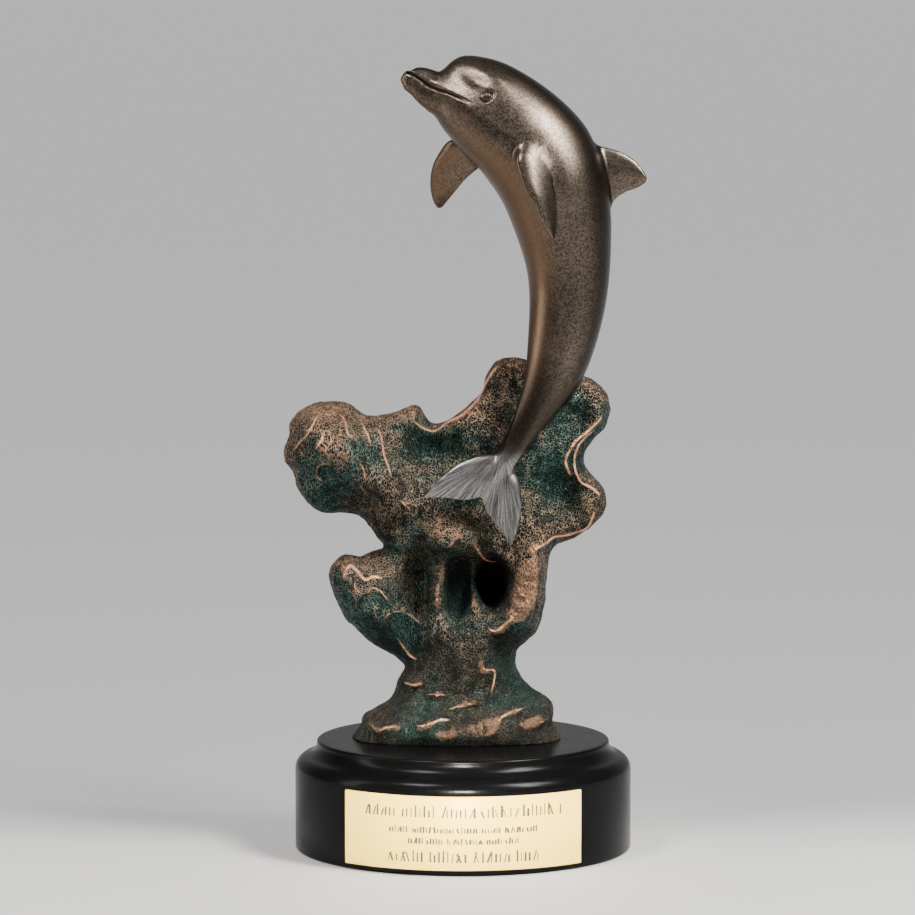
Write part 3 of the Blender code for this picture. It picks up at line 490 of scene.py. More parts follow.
def coralMesh():
    maps = coralMaps()
    board = bmesh.new()
    outline = smoothLine(coralOutline, 2, True)
    face = board.faces.new([board.verts.new((x, -coral["front"], z)) for x, z in outline])
    sides = bmesh.ops.extrude_face_region(board, geom=[face])["geom"]
    moved = [v for v in sides if isinstance(v, bmesh.types.BMVert)]
    bmesh.ops.translate(board, verts=moved, vec=(0, coral["front"] + coral["back"], 0))
    bmesh.ops.triangulate(board, faces=board.faces[:])
    bmesh.ops.recalc_face_normals(board, faces=board.faces[:])
    mesh = meshFrom(board, "coral board")
    for grain, passes in ((coral["coarseGrain"], 6), (coral["fineGrain"], 4)):
        mesh = evenlyGrained(mesh, grain)
        carve(mesh, maps, passes)
    roughen(mesh)
    return mesh, maps


# The dolphin, drawn in the same hundredths

# Each station has its centre x, y, z, the dip of its axis below +X, the roll that turns the belly to the
# front, the heights of back and belly, the half-width, and the keel from 0, round, to 1, sharp
bodyStations = [
    (-8.9, -3.1, 97.3, 30, 12, 0.0, 0.0, 0.0, 0),
    (-8.5, -3.1, 97.8, 30, 12, 0.3, 1.2, 0.7, 0),
    (-7.8, -3.1, 97.7, 29, 12, 0.4, 2.0, 1.1, 0),
    (-7.4, -3.1, 97.5, 28, 12, 1.2, 2.4, 1.3, 0),
    (-6.5, -3.1, 96.9, 28, 12, 1.9, 2.5, 1.5, 0),
    (-5.4, -3.1, 96.1, 28, 12, 2.4, 2.8, 1.8, 0),
    (-4.6, -3.1, 95.7, 27, 12, 2.6, 3.1, 2.1, 0),
    (-4.1, -3.1, 95.5, 27, 12, 3.6, 3.2, 2.3, 0),
    (-3.7, -3.1, 95.3, 26, 12, 4.7, 3.4, 2.6, 0),
    (-2.5, -3.1, 94.9, 25, 12, 6.0, 3.8, 3.4, 0),
    (-0.5, -3.1, 94.1, 28, 12, 6.9, 5.1, 4.5, 0),
    (1.9, -3.1, 92.8, 33, 12, 7.7, 6.0, 5.6, 0),
    (4.6, -3.1, 90.8, 40, 12, 8.3, 6.6, 6.6, 0),
    (7.5, -3.1, 88.5, 48, 12, 8.6, 6.9, 7.4, 0),
    (10.4, -3.1, 85.5, 58, 12, 8.8, 7.4, 7.7, 0),
    (12.6, -3.1, 81.9, 68, 12, 8.4, 7.4, 7.7, 0),
    (13.9, -3.1, 77.8, 77, 12, 7.8, 7.1, 7.3, 0),
    (14.8, -3.3, 73.5, 84, 12, 6.8, 6.6, 6.6, 0),
    (15.2, -3.5, 69.1, 90, 12, 6.2, 5.9, 5.9, 0),
    (15.1, -3.9, 64.8, 94, 12, 5.8, 5.5, 5.3, 0.1),
    (14.5, -4.5, 60.5, 99, 13, 5.4, 5.1, 4.8, 0.2),
    (13.5, -5.0, 56.1, 106, 15, 4.9, 4.5, 4.1, 0.3),
    (12.0, -5.8, 52.1, 114, 20, 4.3, 3.5, 3.4, 0.5),
    (9.8, -6.5, 48.3, 122, 28, 3.2, 2.4, 2.7, 0.7),
    (7.8, -7.0, 44.7, 126, 42, 2.3, 1.8, 2.2, 0.8),
    (6.1, -7.4, 41.8, 122, 62, 1.9, 1.6, 1.8, 1),
    (4.8, -7.8, 39.6, 119, 78, 1.3, 1.3, 1.3, 1),
    (3.8, -8.0, 37.9, 119, 85, 0.6, 0.7, 0.7, 1),
]
dolphin = {
    "headStep": 0.18,  # between rings, over the head
    "bodyStep": 0.5,  # between rings, over the rest
    "headLength": 21,
    "headFairing": 0.14,  # how far along the body its stations are evened out
    "bodyFairing": 1.3,
    "backPoints": 37,
    "bellyPoints": 31,
    "mouthBand": (0.9, 0.62, 0.42, 0.29, 0.2, 0.13, 0.06),  # rows of points beside the mouth line
    "mouthStart": 1,
    "mouthEnd": 10.6,
    "mouthDrop": 9,
    "mouthDepth": 0.36,
    "mouthWidth": 0.13,
    "lipHeight": 0.1,
    "eyeStation": 11.1,
    "eyeAngle": 10,
    "finSteps": 7,
    "chordSteps": 15,
    "filletReach": 1.3,
}
# Soft forms of the head's two sides: x, z, radii, tilt, height
headForms = {
    "hollow before the eye": (1.9, 96.8, 2.2, 0.9, 27, -0.5),
    "brow over the eye": (4.2, 97.3, 3.0, 0.9, 32, 0.25),
    "cheek": (0.8, 92.6, 2.4, 1.2, 35, 0.22),
    "side of the beak": (-4.2, 96.6, 2.8, 0.5, 27, 0.16),
}
blowhole = (11.6, 90, 0.55, 0.9, -0.3)  # station, degrees, radii along and across, depth
dorsalFin = [
    ((17.4, -2.9, 87.0), (19.0, -2.9, 77.2), 1.8),
    ((19.4, -2.9, 87.6), (21.4, -2.9, 78.2), 1.6),
    ((21.6, -3.0, 86.8), (22.3, -3.0, 79.5), 1.3),
    ((23.4, -3.0, 86.1), (23.6, -3.0, 80.5), 1.1),
    ((25.1, -3.1, 84.9), (25.2, -3.1, 81.1), 0.9),
    ((26.2, -3.2, 83.6), (26.1, -3.2, 81.6), 0.7),
    ((26.7, -3.2, 82.5), (26.5, -3.2, 81.9), 0.4),
]
rightFin = [
    ((0.4, 0.0, 88.7), (4.8, 0.0, 85.2), 2.1),
    ((-2.0, 1.2, 87.9), (2.5, 1.2, 83.9), 1.8),
    ((-3.5, 2.7, 86.0), (0.6, 2.3, 82.4), 1.5),
    ((-4.5, 3.9, 83.9), (-1.0, 3.5, 80.5), 1.2),
    ((-4.8, 5.0, 81.5), (-2.2, 4.7, 79.0), 1.0),
    ((-4.5, 5.8, 79.5), (-3.0, 5.6, 78.0), 0.8),
    ((-3.8, 6.2, 78.0), (-3.3, 6.2, 77.8), 0.5),
]
leftFin = [
    ((8.0, -9.3, 88.1), (12.3, -9.3, 86.7), 2.3),
    ((7.3, -11.3, 86.0), (12.6, -10.5, 84.5), 2.1),
    ((8.0, -12.4, 83.7), (13.0, -10.9, 82.2), 1.7),
    ((9.0, -13.0, 81.0), (13.3, -11.2, 79.8), 1.5),
    ((10.2, -13.0, 78.4), (13.4, -11.3, 77.5), 1.2),
    ((11.6, -12.6, 75.9), (13.3, -11.5, 75.5), 0.9),
    ((12.7, -12.2, 74.2), (13.1, -11.8, 74.1), 0.5),
]
flukes = {
    "root": (5.8, -7.6, 42.1),
    "axis": (-0.49, -0.10, -0.87),
    # along the span: leading and trailing edges along the axis, and the thickness
    "sections": [
        (0.0, -1.2, 6.55, 2.6),
        (0.9, -0.7, 7.2, 2.0),
        (1.75, 0.0, 7.9, 1.7),
        (2.8, 0.95, 8.4, 1.5),
        (3.8, 1.95, 8.8, 1.3),
        (5.3, 3.9, 9.45, 1.1),
        (6.2, 5.9, 9.95, 0.9),
        (6.8, 7.9, 10.3, 0.7),
        (7.2, 10.1, 10.6, 0.4),
    ],
}


def evenedOut(table, step, reach):
    # each column is averaged over the reach with a bell of weights
    half = math.ceil(3 * reach / step)
    weights = np.exp(-0.5 * (np.arange(-half, half + 1) * step / reach) ** 2)
    weights /= weights.sum()
    padded = np.pad(table, ((half, half), (0, 0)), mode="reflect", reflect_type="odd")
    return np.column_stack([np.convolve(padded[:, k], weights, "valid") for k in range(table.shape[1])])


def fairedStations():
    # stations at even, small steps along the body, with their station number as the last column
    numbered = np.column_stack([bodyStations, np.arange(len(bodyStations))])
    rough = smoothLine(numbered, 40, False)
    along = np.concatenate([[0], np.cumsum(np.linalg.norm(np.diff(rough[:, :3], axis=0), axis=1))])
    step = 0.04
    places = np.arange(0, along[-1], step)
    even = np.column_stack([np.interp(places, along, rough[:, k]) for k in range(rough.shape[1])])
    crisp, fair = evenedOut(even, step, dolphin["headFairing"]), evenedOut(even, step, dolphin["bodyFairing"])
    blend = np.clip((even[:, -1] - 10) / 4, 0, 1)[:, None]
    stations = crisp * (1 - blend) + fair * blend
    stations[:, 5:8] = np.maximum(stations[:, 5:8], 0.02)
    return places, stations


def skinPoint(station, degrees):
    # 0 degrees is the left side, 90 the back, 180 the right side
    dip, roll = math.radians(station[3]), math.radians(station[4])
    axis = Vector((math.cos(dip), 0, -math.sin(dip)))
    back = Vector((math.sin(dip), 0, math.cos(dip))) * math.cos(roll) + Vector((0, math.sin(roll), 0))
    left = axis.cross(back)
    sine, cosine = math.sin(math.radians(degrees)), math.cos(math.radians(degrees))
    height = station[5] if sine >= 0 else station[6]
    across = math.copysign(abs(cosine) ** (1 + station[8]), cosine)
    return Vector(station[:3]) + left * (across * station[7]) + back * (sine * height)


def mouthPress(station, off):
    # how far the mouth line presses the skin in, at a distance from it
    place = station[-1]
    fade = min((place - dolphin["mouthStart"]) / 0.6, (dolphin["mouthEnd"] - place) / 0.7, 1)
    if fade <= 0:
        return 0
    depth = min(dolphin["mouthDepth"], station[7] / 2)
    groove = depth * math.exp(-((off / dolphin["mouthWidth"]) ** 2))
    lip = dolphin["lipHeight"] * math.exp(-(((abs(off) - 0.36) / 0.16) ** 2))
    return fade * (groove - lip)


def ringAngles(station):
    # angles round one ring, each with its distance to the mouth line, close together beside it
    place = station[-1]
    share = (place - dolphin["mouthStart"]) / (dolphin["mouthEnd"] - dolphin["mouthStart"])
    drop = dolphin["mouthDrop"] * min(max(share, 0), 1)
    radius = max(station[7], 0.5)
    widest = math.degrees(dolphin["mouthBand"][0] / radius)
    squeeze = min(1, 24 / widest)
    offs = [-off for off in dolphin["mouthBand"]] + [0] + list(dolphin["mouthBand"][::-1])
    band = [(math.degrees(off * squeeze / radius), off * squeeze) for off in offs]
    right, left = 180 + drop, 360 - drop
    half = widest * squeeze
    back = np.linspace(left - 360 + half, right - half, dolphin["backPoints"] + 2)[1:-1]
    belly = np.linspace(right + half, left - half, dolphin["bellyPoints"] + 2)[1:-1]
    ring = [(angle, 9) for angle in back]
    ring += [(right + turn, off) for turn, off in band]
    ring += [(angle, 9) for angle in belly]
    return ring + [(left + turn, off) for turn, off in band]


def bodyMesh(places, stations):
    eye = skinPoint(stationAt(places, stations, dolphin["eyeStation"]), dolphin["eyeAngle"])
    farEye = skinPoint(stationAt(places, stations, dolphin["eyeStation"]), 180 - dolphin["eyeAngle"])
    hole = skinPoint(stationAt(places, stations, blowhole[0]), blowhole[1])
    rings, along = [], 0
    while along < places[-1]:
        station = stations[int(along / (places[1] - places[0]))]
        centre = Vector(station[:3])
        ring = []
        for degrees, off in ringAngles(station):
            point = skinPoint(station, degrees)
            out = (point - centre).normalized()
            lift = -mouthPress(station, off)
            sideways = abs(math.cos(math.radians(degrees)))
            if station[-1] < 15:
                for form in headForms.values():
                    lift += swelling(point.x, point.z, form) * sideways
                for socket in (eye, farEye):
                    lift -= 0.4 * min(max((0.98 - (point - socket).length) / 0.2, 0), 1)
                lift += blowhole[4] * math.exp(-(((point - hole).length / blowhole[2]) ** 2))
            ring.append(point + out * lift)
        rings.append(ring)
        share = min(max((along - dolphin["headLength"]) / 8, 0), 1)
        along += dolphin["headStep"] * (1 - share) + dolphin["bodyStep"] * share
    return loft(rings, "body")


def stationAt(places, stations, number):
    return stations[int(np.argmin(np.abs(stations[:, -1] - number)))]


def eyeMesh(places, stations, degrees, name):
    # a turned eye: a rolled lid, the groove inside it and the ball, standing on the skin
    station = stationAt(places, stations, dolphin["eyeStation"])
    skin = skinPoint(station, degrees)
    ahead = skinPoint(stationAt(places, stations, dolphin["eyeStation"] + 0.3), degrees) - skin
    upward = skinPoint(station, degrees + 6) - skin
    out = ahead.cross(upward).normalized()
    if out.dot(skin - Vector(station[:3])) < 0:
        out.negate()
    profile = [(1.02, -0.75), (1.04, -0.14), (0.99, -0.05), (0.93, 0.02), (0.86, 0.05), (0.79, 0.02),
               (0.73, -0.06), (0.68, -0.15), (0.61, -0.2), (0.55, -0.19)]
    profile += [(0.5 * math.cos(math.radians(t)), -0.17 + 0.3 * math.sin(math.radians(t)))
                for t in range(0, 90, 15)]
    turn = out.to_track_quat("Z", "Y").to_matrix()
    rings = []
    for radius, height in profile:
        circle = [Vector((radius * math.cos(a), radius * 0.9 * math.sin(a), height))
                  for a in np.linspace(0, 2 * math.pi, 41)[:-1]]
        rings.append([skin + turn @ p for p in circle])
    return loft(rings, name)


def bladeProfile():
    # shares of chord and of half thickness round a fin's section, from the leading edge and back
    steps = dolphin["chordSteps"]
    shares = [0.5 - 0.5 * math.cos(math.pi * k / steps) for k in range(steps + 1)]
    oneSide = [(s, 2.6 * math.sqrt(s) * (1 - s) + 0.1 * s) for s in shares]
    return oneSide + [(s, -half) for s, half in oneSide[-1:0:-1]]


def bladeMesh(sections, name):
    rows = np.array([(*lead, *trail, thickness) for lead, trail, thickness in sections])
    rows = smoothLine(rows, dolphin["finSteps"], False)
    middles = [Vector(row[:3] + row[3:6]) / 2 for row in rows]
    rings = []
    for i, row in enumerate(rows):
        lead, chord = Vector(row[:3]), Vector(row[3:6] - row[:3])
        span = middles[min(i + 1, len(middles) - 1)] - middles[max(i - 1, 0)]
        flat = chord.cross(span).normalized() * (row[6] / 2)
        rings.append([lead + chord * share + flat * half for share, half in bladeProfile()])
    return loft(rings, name)


def flukeMesh():
    axis = Vector(flukes["axis"]).normalized()
    span = axis.cross(Vector((0, 1, 0))).normalized()
    root = Vector(flukes["root"])
    sections = flukes["sections"]
    halves = [(-place, *rest) for place, *rest in sections[:0:-1]] + sections
    return bladeMesh([(root + span * place + axis * lead, root + span * place + axis * trail, thickness)
                      for place, lead, trail, thickness in halves], "flukes")


# One casting from all of it


def boolean(obj, operation, others):
    step = obj.modifiers.new(operation.lower(), "BOOLEAN")
    step.operation = operation
    step.material_mode = "TRANSFER"
    step.operand_type = "COLLECTION"
    step.collection = bpy.data.collections.new(operation.lower())
    bpy.context.scene.collection.children.link(step.collection)
    for mesh in others:
        step.collection.objects.link(bpy.data.objects.new(mesh.name, mesh))
    group = step.collection
    mesh = bakedMesh(obj)
    for other in list(group.objects):
        bpy.data.objects.remove(other)
    bpy.data.collections.remove(group)
    return mesh


def faceKinds(mesh):
    # for each point the lowest and the highest material number of the faces round it
    kinds = np.empty(len(mesh.polygons), np.int32)
    mesh.polygons.foreach_get("material_index", kinds)
    sizes = np.empty(len(mesh.polygons), np.int32)
    mesh.polygons.foreach_get("loop_total", sizes)
    corners = np.empty(len(mesh.loops), np.int32)
    mesh.loops.foreach_get("vertex_index", corners)
    cornerKinds = np.repeat(kinds, sizes)
    low, high = np.full(len(mesh.vertices), 99), np.full(len(mesh.vertices), -1)
    np.minimum.at(low, corners, cornerKinds)
    np.maximum.at(high, corners, cornerKinds)
    return kinds, low, high


def distanceTo(points, chosen, furthest):
    # each point's distance to the nearest chosen point
    tree = kdtree.KDTree(int(chosen.sum()))
    for i in np.flatnonzero(chosen):
        tree.insert(points[i], int(i))
    tree.balance()
    found = np.full(len(points), float(furthest))
    for i, p in enumerate(points):
        found[i] = min(tree.find(p)[2], furthest)
    return found


def castingMesh(looks):
    shape, maps = coralMesh()
    print("coral carved:", len(shape.polygons), "faces")
    piece = addObject("coral", shape)
    fewer = piece.modifiers.new("fewer faces", "DECIMATE")
    fewer.ratio = coral["shareKept"]
    shape = bakedMesh(piece)
    places, stations = fairedStations()
    parts = [bodyMesh(places, stations), flukeMesh(), bladeMesh(dorsalFin, "dorsal fin"),
             bladeMesh(rightFin, "right fin"), bladeMesh(leftFin, "left fin"),
             eyeMesh(places, stations, dolphin["eyeAngle"], "left eye"),
             eyeMesh(places, stations, 180 - dolphin["eyeAngle"], "right eye")]
    print("dolphin modelled:", [len(part.polygons) for part in parts])
    kinds = [bpy.data.materials.new(name) for name in ("coral kind", "body kind", "fin kind", "eye kind")]
    for mesh, kind in zip([shape] + parts, [0, 1, 2, 2, 2, 2, 3, 3]):
        mesh.materials.clear()
        mesh.materials.append(kinds[kind])
    below = bmesh.new()
    bmesh.ops.create_cube(below, size=60, matrix=Matrix.Translation((0, 0, -30)))
    shape = boolean(addObject("coral", shape), "DIFFERENCE", [meshFrom(below, "below the foot")])
    shape = boolean(addObject("casting", shape), "UNION", parts)
    print("casting joined:", len(shape.polygons), "faces", [m.name for m in shape.materials])
    order = np.array([["coral kind", "body kind", "fin kind", "eye kind"].index(m.name)
                      if m else 0 for m in shape.materials])
    faces, _, _ = faceKinds(shape)
    shape.polygons.foreach_set("material_index", order[faces].astype(np.int32))
    softenJoints(shape)
    maskForms(shape, maps)
    placeInFrame(shape)
    maskCasting(shape)
    faces, _, _ = faceKinds(shape)
    shape.materials.clear()
    for look in looks:
        shape.materials.append(look)
    shape.polygons.foreach_set("material_index", np.minimum(faces, 1).astype(np.int32))
    for kind in kinds:
        bpy.data.materials.remove(kind)
    return shape


def softenJoints(mesh):
    # fillets where the fins and the flukes grow out of the body
    points, edges = readPoints(mesh), readEdges(mesh)
    _, low, high = faceKinds(mesh)
    joint = (low == 1) & (high == 2)
    near = np.exp(-((distanceTo(points, joint, 9) / dolphin["filletReach"]) ** 2))
    near[low == 0] = 0
    near[high == 3] = 0
    writePoints(mesh, relaxed(points, edges, 14, 0.6 * near[:, None]))


def placeInFrame(mesh):
    # from hundredths to the CAD casting's own foot and height
    points = readPoints(mesh)
    unit = (castHigh.z - castLow.z) / (points[:, 2].max() - points[:, 2].min())
    points *= unit
    points += (axisX, axisY, castLow.z - points[:, 2].min())
    writePoints(mesh, points)


# how the wear and the painted shade are measured
wearAndShade = {
    # painted shade in the coral's hollows, by their depth
    "fullPit": 4,  # a hollow as deep as this is wholly dark, in hundredths
    "rimReach": 1.6,
    # faces turned this way are the belly side; faces turned away get painted shade
    "bellySide": (-0.9, -0.15, -0.4),
    # how far a crest stands out where it is rubbed most: on the body, on the fins and on the coral
    "crestHeights": (0.5 * mm, 0.3 * mm, 0.12 * mm),
    "riseHeight": 2.2 * mm,
    # how far the painted shade and verdigris spread from the crease round the dolphin
    "seamReach": 2.2 * mm,
    "seamEnd": 12 * mm,
}


def maskForms(mesh, maps):
    # the coral's rubbed ridges, hollows and rim, and the dolphin's belly
    x, y, z = readPoints(mesh).T
    _, low, _ = faceKinds(mesh)
    front = (low == 0) & (y < 0.5 * (readMap(maps, "back", x, z) - readMap(maps, "front", x, z)))
    fromRim = np.maximum(readMap(maps, "depthIn", x, z), 0)
    storeMask(mesh, "line", readMap(maps, "line", x, z) * front)
    # the hollows' depth and the belly side are read by the finishes for painted shade
    storeMask(mesh, "pit", np.clip(readMap(maps, "pit", x, z) / wearAndShade["fullPit"], 0, 1) * front)
    storeMask(mesh, "rim", np.exp(-fromRim / wearAndShade["rimReach"]) * (low == 0))
    storeMask(mesh, "belly", np.clip(readNormals(mesh) @ wearAndShade["bellySide"], -1, 1) * (low > 0))


def maskCasting(mesh):
    # what the finishes read: crests and recesses at two scales, and the crease round the dolphin
    points, edges, normals = readPoints(mesh), readEdges(mesh), readNormals(mesh)
    _, low, high = faceKinds(mesh)
    onBody, onFins, onCoral = wearAndShade["crestHeights"]
    crestHeight = np.select([low == 1, low == 2], [onBody, onFins], onCoral)
    for name, passes, full in (("crest", 3, crestHeight), ("rise", 40, wearAndShade["riseHeight"])):
        lift = ((points - relaxed(points, edges, passes, 0.6)) * normals).sum(1) / full
        storeMask(mesh, name, relaxed(np.clip(lift, -1, 1)[:, None], edges, 1, 0.5)[:, 0])
    # the crease round the dolphin, for its painted shade and the verdigris gathered in it
    seam = (low == 0) & (high > 0)
    storeMask(mesh, "seam", np.exp(-distanceTo(points, seam, wearAndShade["seamEnd"]) / wearAndShade["seamReach"]))


# Finishes


def newMaterial(name):
    made = bpy.data.materials.new(name)
    made.use_nodes = True
    made.node_tree.nodes.clear()
    out = made.node_tree.nodes.new("ShaderNodeOutputMaterial")
    shader = made.node_tree.nodes.new("ShaderNodeBsdfPrincipled")
    made.node_tree.links.new(shader.outputs["BSDF"], out.inputs["Surface"])
    return made, made.node_tree, shader


def put(tree, kind, inputs=None, **settings):
    # one node, with its settings and its inputs, which are plain values or other nodes' outputs
    made = tree.nodes.new(kind)
    for key, value in settings.items():
        setattr(made, key, value)
    for key, value in (inputs or {}).items():
        socket = made.inputs[key]
        if isinstance(value, bpy.types.NodeSocket):
            tree.links.new(value, socket)
        else:
            socket.default_value = value
    return made


def maths(tree, operation, a, b=0.0, clamp=False):
    return put(tree, "ShaderNodeMath", {0: a, 1: b}, operation=operation, use_clamp=clamp).outputs[0]


def weighed(tree, *terms):
    # the sum of some values, each times its weight
    total = 0.0
    for value, weight in terms:
        total = maths(tree, "ADD", total, maths(tree, "MULTIPLY", value, weight))
    return total


def opposite(tree, value):
    return maths(tree, "SUBTRACT", 1.0, value)


def ramped(tree, value, low, high, toLow=0.0, toHigh=1.0):
    inputs = {"Value": value, "From Min": low, "From Max": high, "To Min": toLow, "To Max": toHigh}
    return put(tree, "ShaderNodeMapRange", inputs, interpolation_type="SMOOTHSTEP").outputs[0]


def mixed(tree, share, a, b, blend="MIX"):
    made = put(tree, "ShaderNodeMix", data_type="RGBA", blend_type=blend)
    for index, value in ((0, share), (6, a), (7, b)):
        if isinstance(value, bpy.types.NodeSocket):
            tree.links.new(value, made.inputs[index])
        else:
            made.inputs[index].default_value = value if index == 0 else (*value, 1)
    return made.outputs[2]


def noiseAt(tree, where, scale, detail=2.0, roughness=0.5):
    inputs = {"Vector": where, "Scale": scale, "Detail": detail, "Roughness": roughness}
    return put(tree, "ShaderNodeTexNoise", inputs).outputs["Fac"]


def newGroup(name, inputs, outputs):
    tree = bpy.data.node_groups.new(name, "ShaderNodeTree")
    for label, kind, value in inputs:
        socket = tree.interface.new_socket(label, in_out="INPUT", socket_type="NodeSocket" + kind)
        if value is not None:
            socket.default_value = value
    for label, kind in outputs:
        tree.interface.new_socket(label, in_out="OUTPUT", socket_type="NodeSocket" + kind)
    return tree, tree.nodes.new("NodeGroupInput").outputs, tree.nodes.new("NodeGroupOutput").inputs


def grainGroup():
    # cast grain: a raised net round small pits, with grit and softer lumps, and a tone for each grain
    tree, given, out = newGroup(
        "cast grain",
        [("Where", "Vector", None), ("Size", "Float", 0.001), ("Lumps", "Float", 0.5), ("Net", "Float", 0.4)],
        [("Height", "Float"), ("Tone", "Float")])
    scale = maths(tree, "DIVIDE", 1.0, given["Size"])
    bend = put(tree, "ShaderNodeTexNoise", {"Vector": given["Where"], "Scale": scale, "Detail": 1.0})
    bend = put(tree, "ShaderNodeVectorMath",
               {0: bend.outputs["Color"], 1: (0.5, 0.5, 0.5)}, operation="SUBTRACT")
    bend = put(tree, "ShaderNodeVectorMath",
               {0: bend.outputs["Vector"], "Scale": maths(tree, "MULTIPLY", given["Size"], 0.9)},
               operation="SCALE")
    warped = put(tree, "ShaderNodeVectorMath",
                 {0: given["Where"], 1: bend.outputs["Vector"]}, operation="ADD")
    warped = {"Vector": warped.outputs["Vector"], "Scale": scale}
    edge = put(tree, "ShaderNodeTexVoronoi", warped, feature="DISTANCE_TO_EDGE").outputs["Distance"]
    net = ramped(tree, edge, 0.26, 0.03)
    cells = put(tree, "ShaderNodeTexVoronoi", warped, feature="F1").outputs["Color"]
    grit = noiseAt(tree, given["Where"], maths(tree, "MULTIPLY", scale, 1.7), 2.0, 0.6)
    lumps = noiseAt(tree, given["Where"], maths(tree, "MULTIPLY", scale, 0.3), 2.0)
    lumps = maths(tree, "SUBTRACT", lumps, 0.5)
    height = weighed(tree, (net, given["Net"]), (grit, 0.7), (lumps, given["Lumps"]))
    tree.links.new(height, out["Height"])
    tree.links.new(put(tree, "ShaderNodeSeparateColor", {"Color": cells}).outputs[0], out["Tone"])
    return tree


def wanderGroup():
    # thin lines that wander over the surface, in patches
    tree, given, out = newGroup(
        "wandering wrinkles",
        [("Where", "Vector", None), ("Size", "Float", 0.009), ("Width", "Float", 0.02),
         ("Amount", "Float", 0.5)],
        [("Line", "Float")])
    scale = maths(tree, "DIVIDE", 1.0, given["Size"])
    bends = noiseAt(tree, given["Where"], scale, 1.5, 0.45)
    off = maths(tree, "ABSOLUTE", maths(tree, "SUBTRACT", bends, 0.5))
    line = ramped(tree, maths(tree, "DIVIDE", off, given["Width"]), 1.0, 0.0)
    place = put(tree, "ShaderNodeVectorMath", {0: given["Where"], 1: (0.31, 0.17, 0.23)}, operation="ADD")
    patch = noiseAt(tree, place.outputs["Vector"], maths(tree, "MULTIPLY", scale, 0.8), 1.0)
    patch = weighed(tree, (patch, 1.0), (given["Amount"], 0.2))
    tree.links.new(maths(tree, "MULTIPLY", line, ramped(tree, patch, 0.55, 0.65)), out["Line"])
    return tree


def rubGroup():
    # metal rubbed bare on crests, broken up by noise
    tree, given, out = newGroup(
        "rubbed crests",
        [("Where", "Vector", None), ("Crest", "Float", 0.0), ("Rise", "Float", 0.0), ("Start", "Float", 0.3),
         ("Softness", "Float", 0.3), ("Break", "Float", 0.4), ("Size", "Float", 0.003)],
        [("Share", "Float")])
    scale = maths(tree, "DIVIDE", 1.0, given["Size"])
    broken = maths(tree, "SUBTRACT", noiseAt(tree, given["Where"], scale, 3.0, 0.65), 0.5)
    raised = weighed(tree, (given["Crest"], 1.0), (given["Rise"], 0.5), (broken, given["Break"]))
    end = maths(tree, "ADD", given["Start"], given["Softness"])
    tree.links.new(ramped(tree, raised, given["Start"], end), out["Share"])
    return tree


def useGroup(tree, group, inputs):
    made = put(tree, "ShaderNodeGroup", node_tree=group)
    for key, value in inputs.items():
        if isinstance(value, bpy.types.NodeSocket):
            tree.links.new(value, made.inputs[key])
        else:
            made.inputs[key].default_value = value
    return made.outputs


def masks(tree, *names):
    return [put(tree, "ShaderNodeAttribute", attribute_name=name).outputs["Fac"] for name in names]


def bumped(tree, height, distance, strength, normal=None):
    inputs = {"Height": height, "Distance": distance, "Strength": strength}
    if normal:
        inputs["Normal"] = normal
    return put(tree, "ShaderNodeBump", inputs).outputs["Normal"]


def levelOf(tree, where):
    # how high up the casting, in hundredths
    height = put(tree, "ShaderNodeSeparateXYZ", {"Vector": where}).outputs["Z"]
    return maths(tree, "DIVIDE", maths(tree, "SUBTRACT", height, castLow.z), hundredth)


coralFinish = {
    "black": (0.004, 0.005, 0.004),
    "verdigris": (0.003, 0.011, 0.009),
    "brown": (0.022, 0.012, 0.007),
    # the coral's flecks: dim and teal in painted shade, pale where worn and painted lit
    "dimFleck": (0.15, 0.115, 0.08),
    "tealFleck": (0.06, 0.12, 0.1),
    "paleFleck": (0.23, 0.155, 0.1),
    "copper": (0.85, 0.42, 0.24),
    "grain": {"Size": 1.0 * mm, "Lumps": 0.5, "Net": 0.4},
    "wrinkles": {"Size": 8 * mm, "Width": 0.018},
    "rubbing": {"Start": 0.9, "Softness": 0.4, "Break": 0.9, "Size": 1.6 * mm},
    "footLevels": (21.1, 11.7),  # from where the coral gets darker towards its foot to where it is darkest
    # how many to the metre
    "drawnZones": 24.0,
    "greenZones": 38.0,
    "wornPatches": 75.0,
    "lineBreaks": 420.0,
}


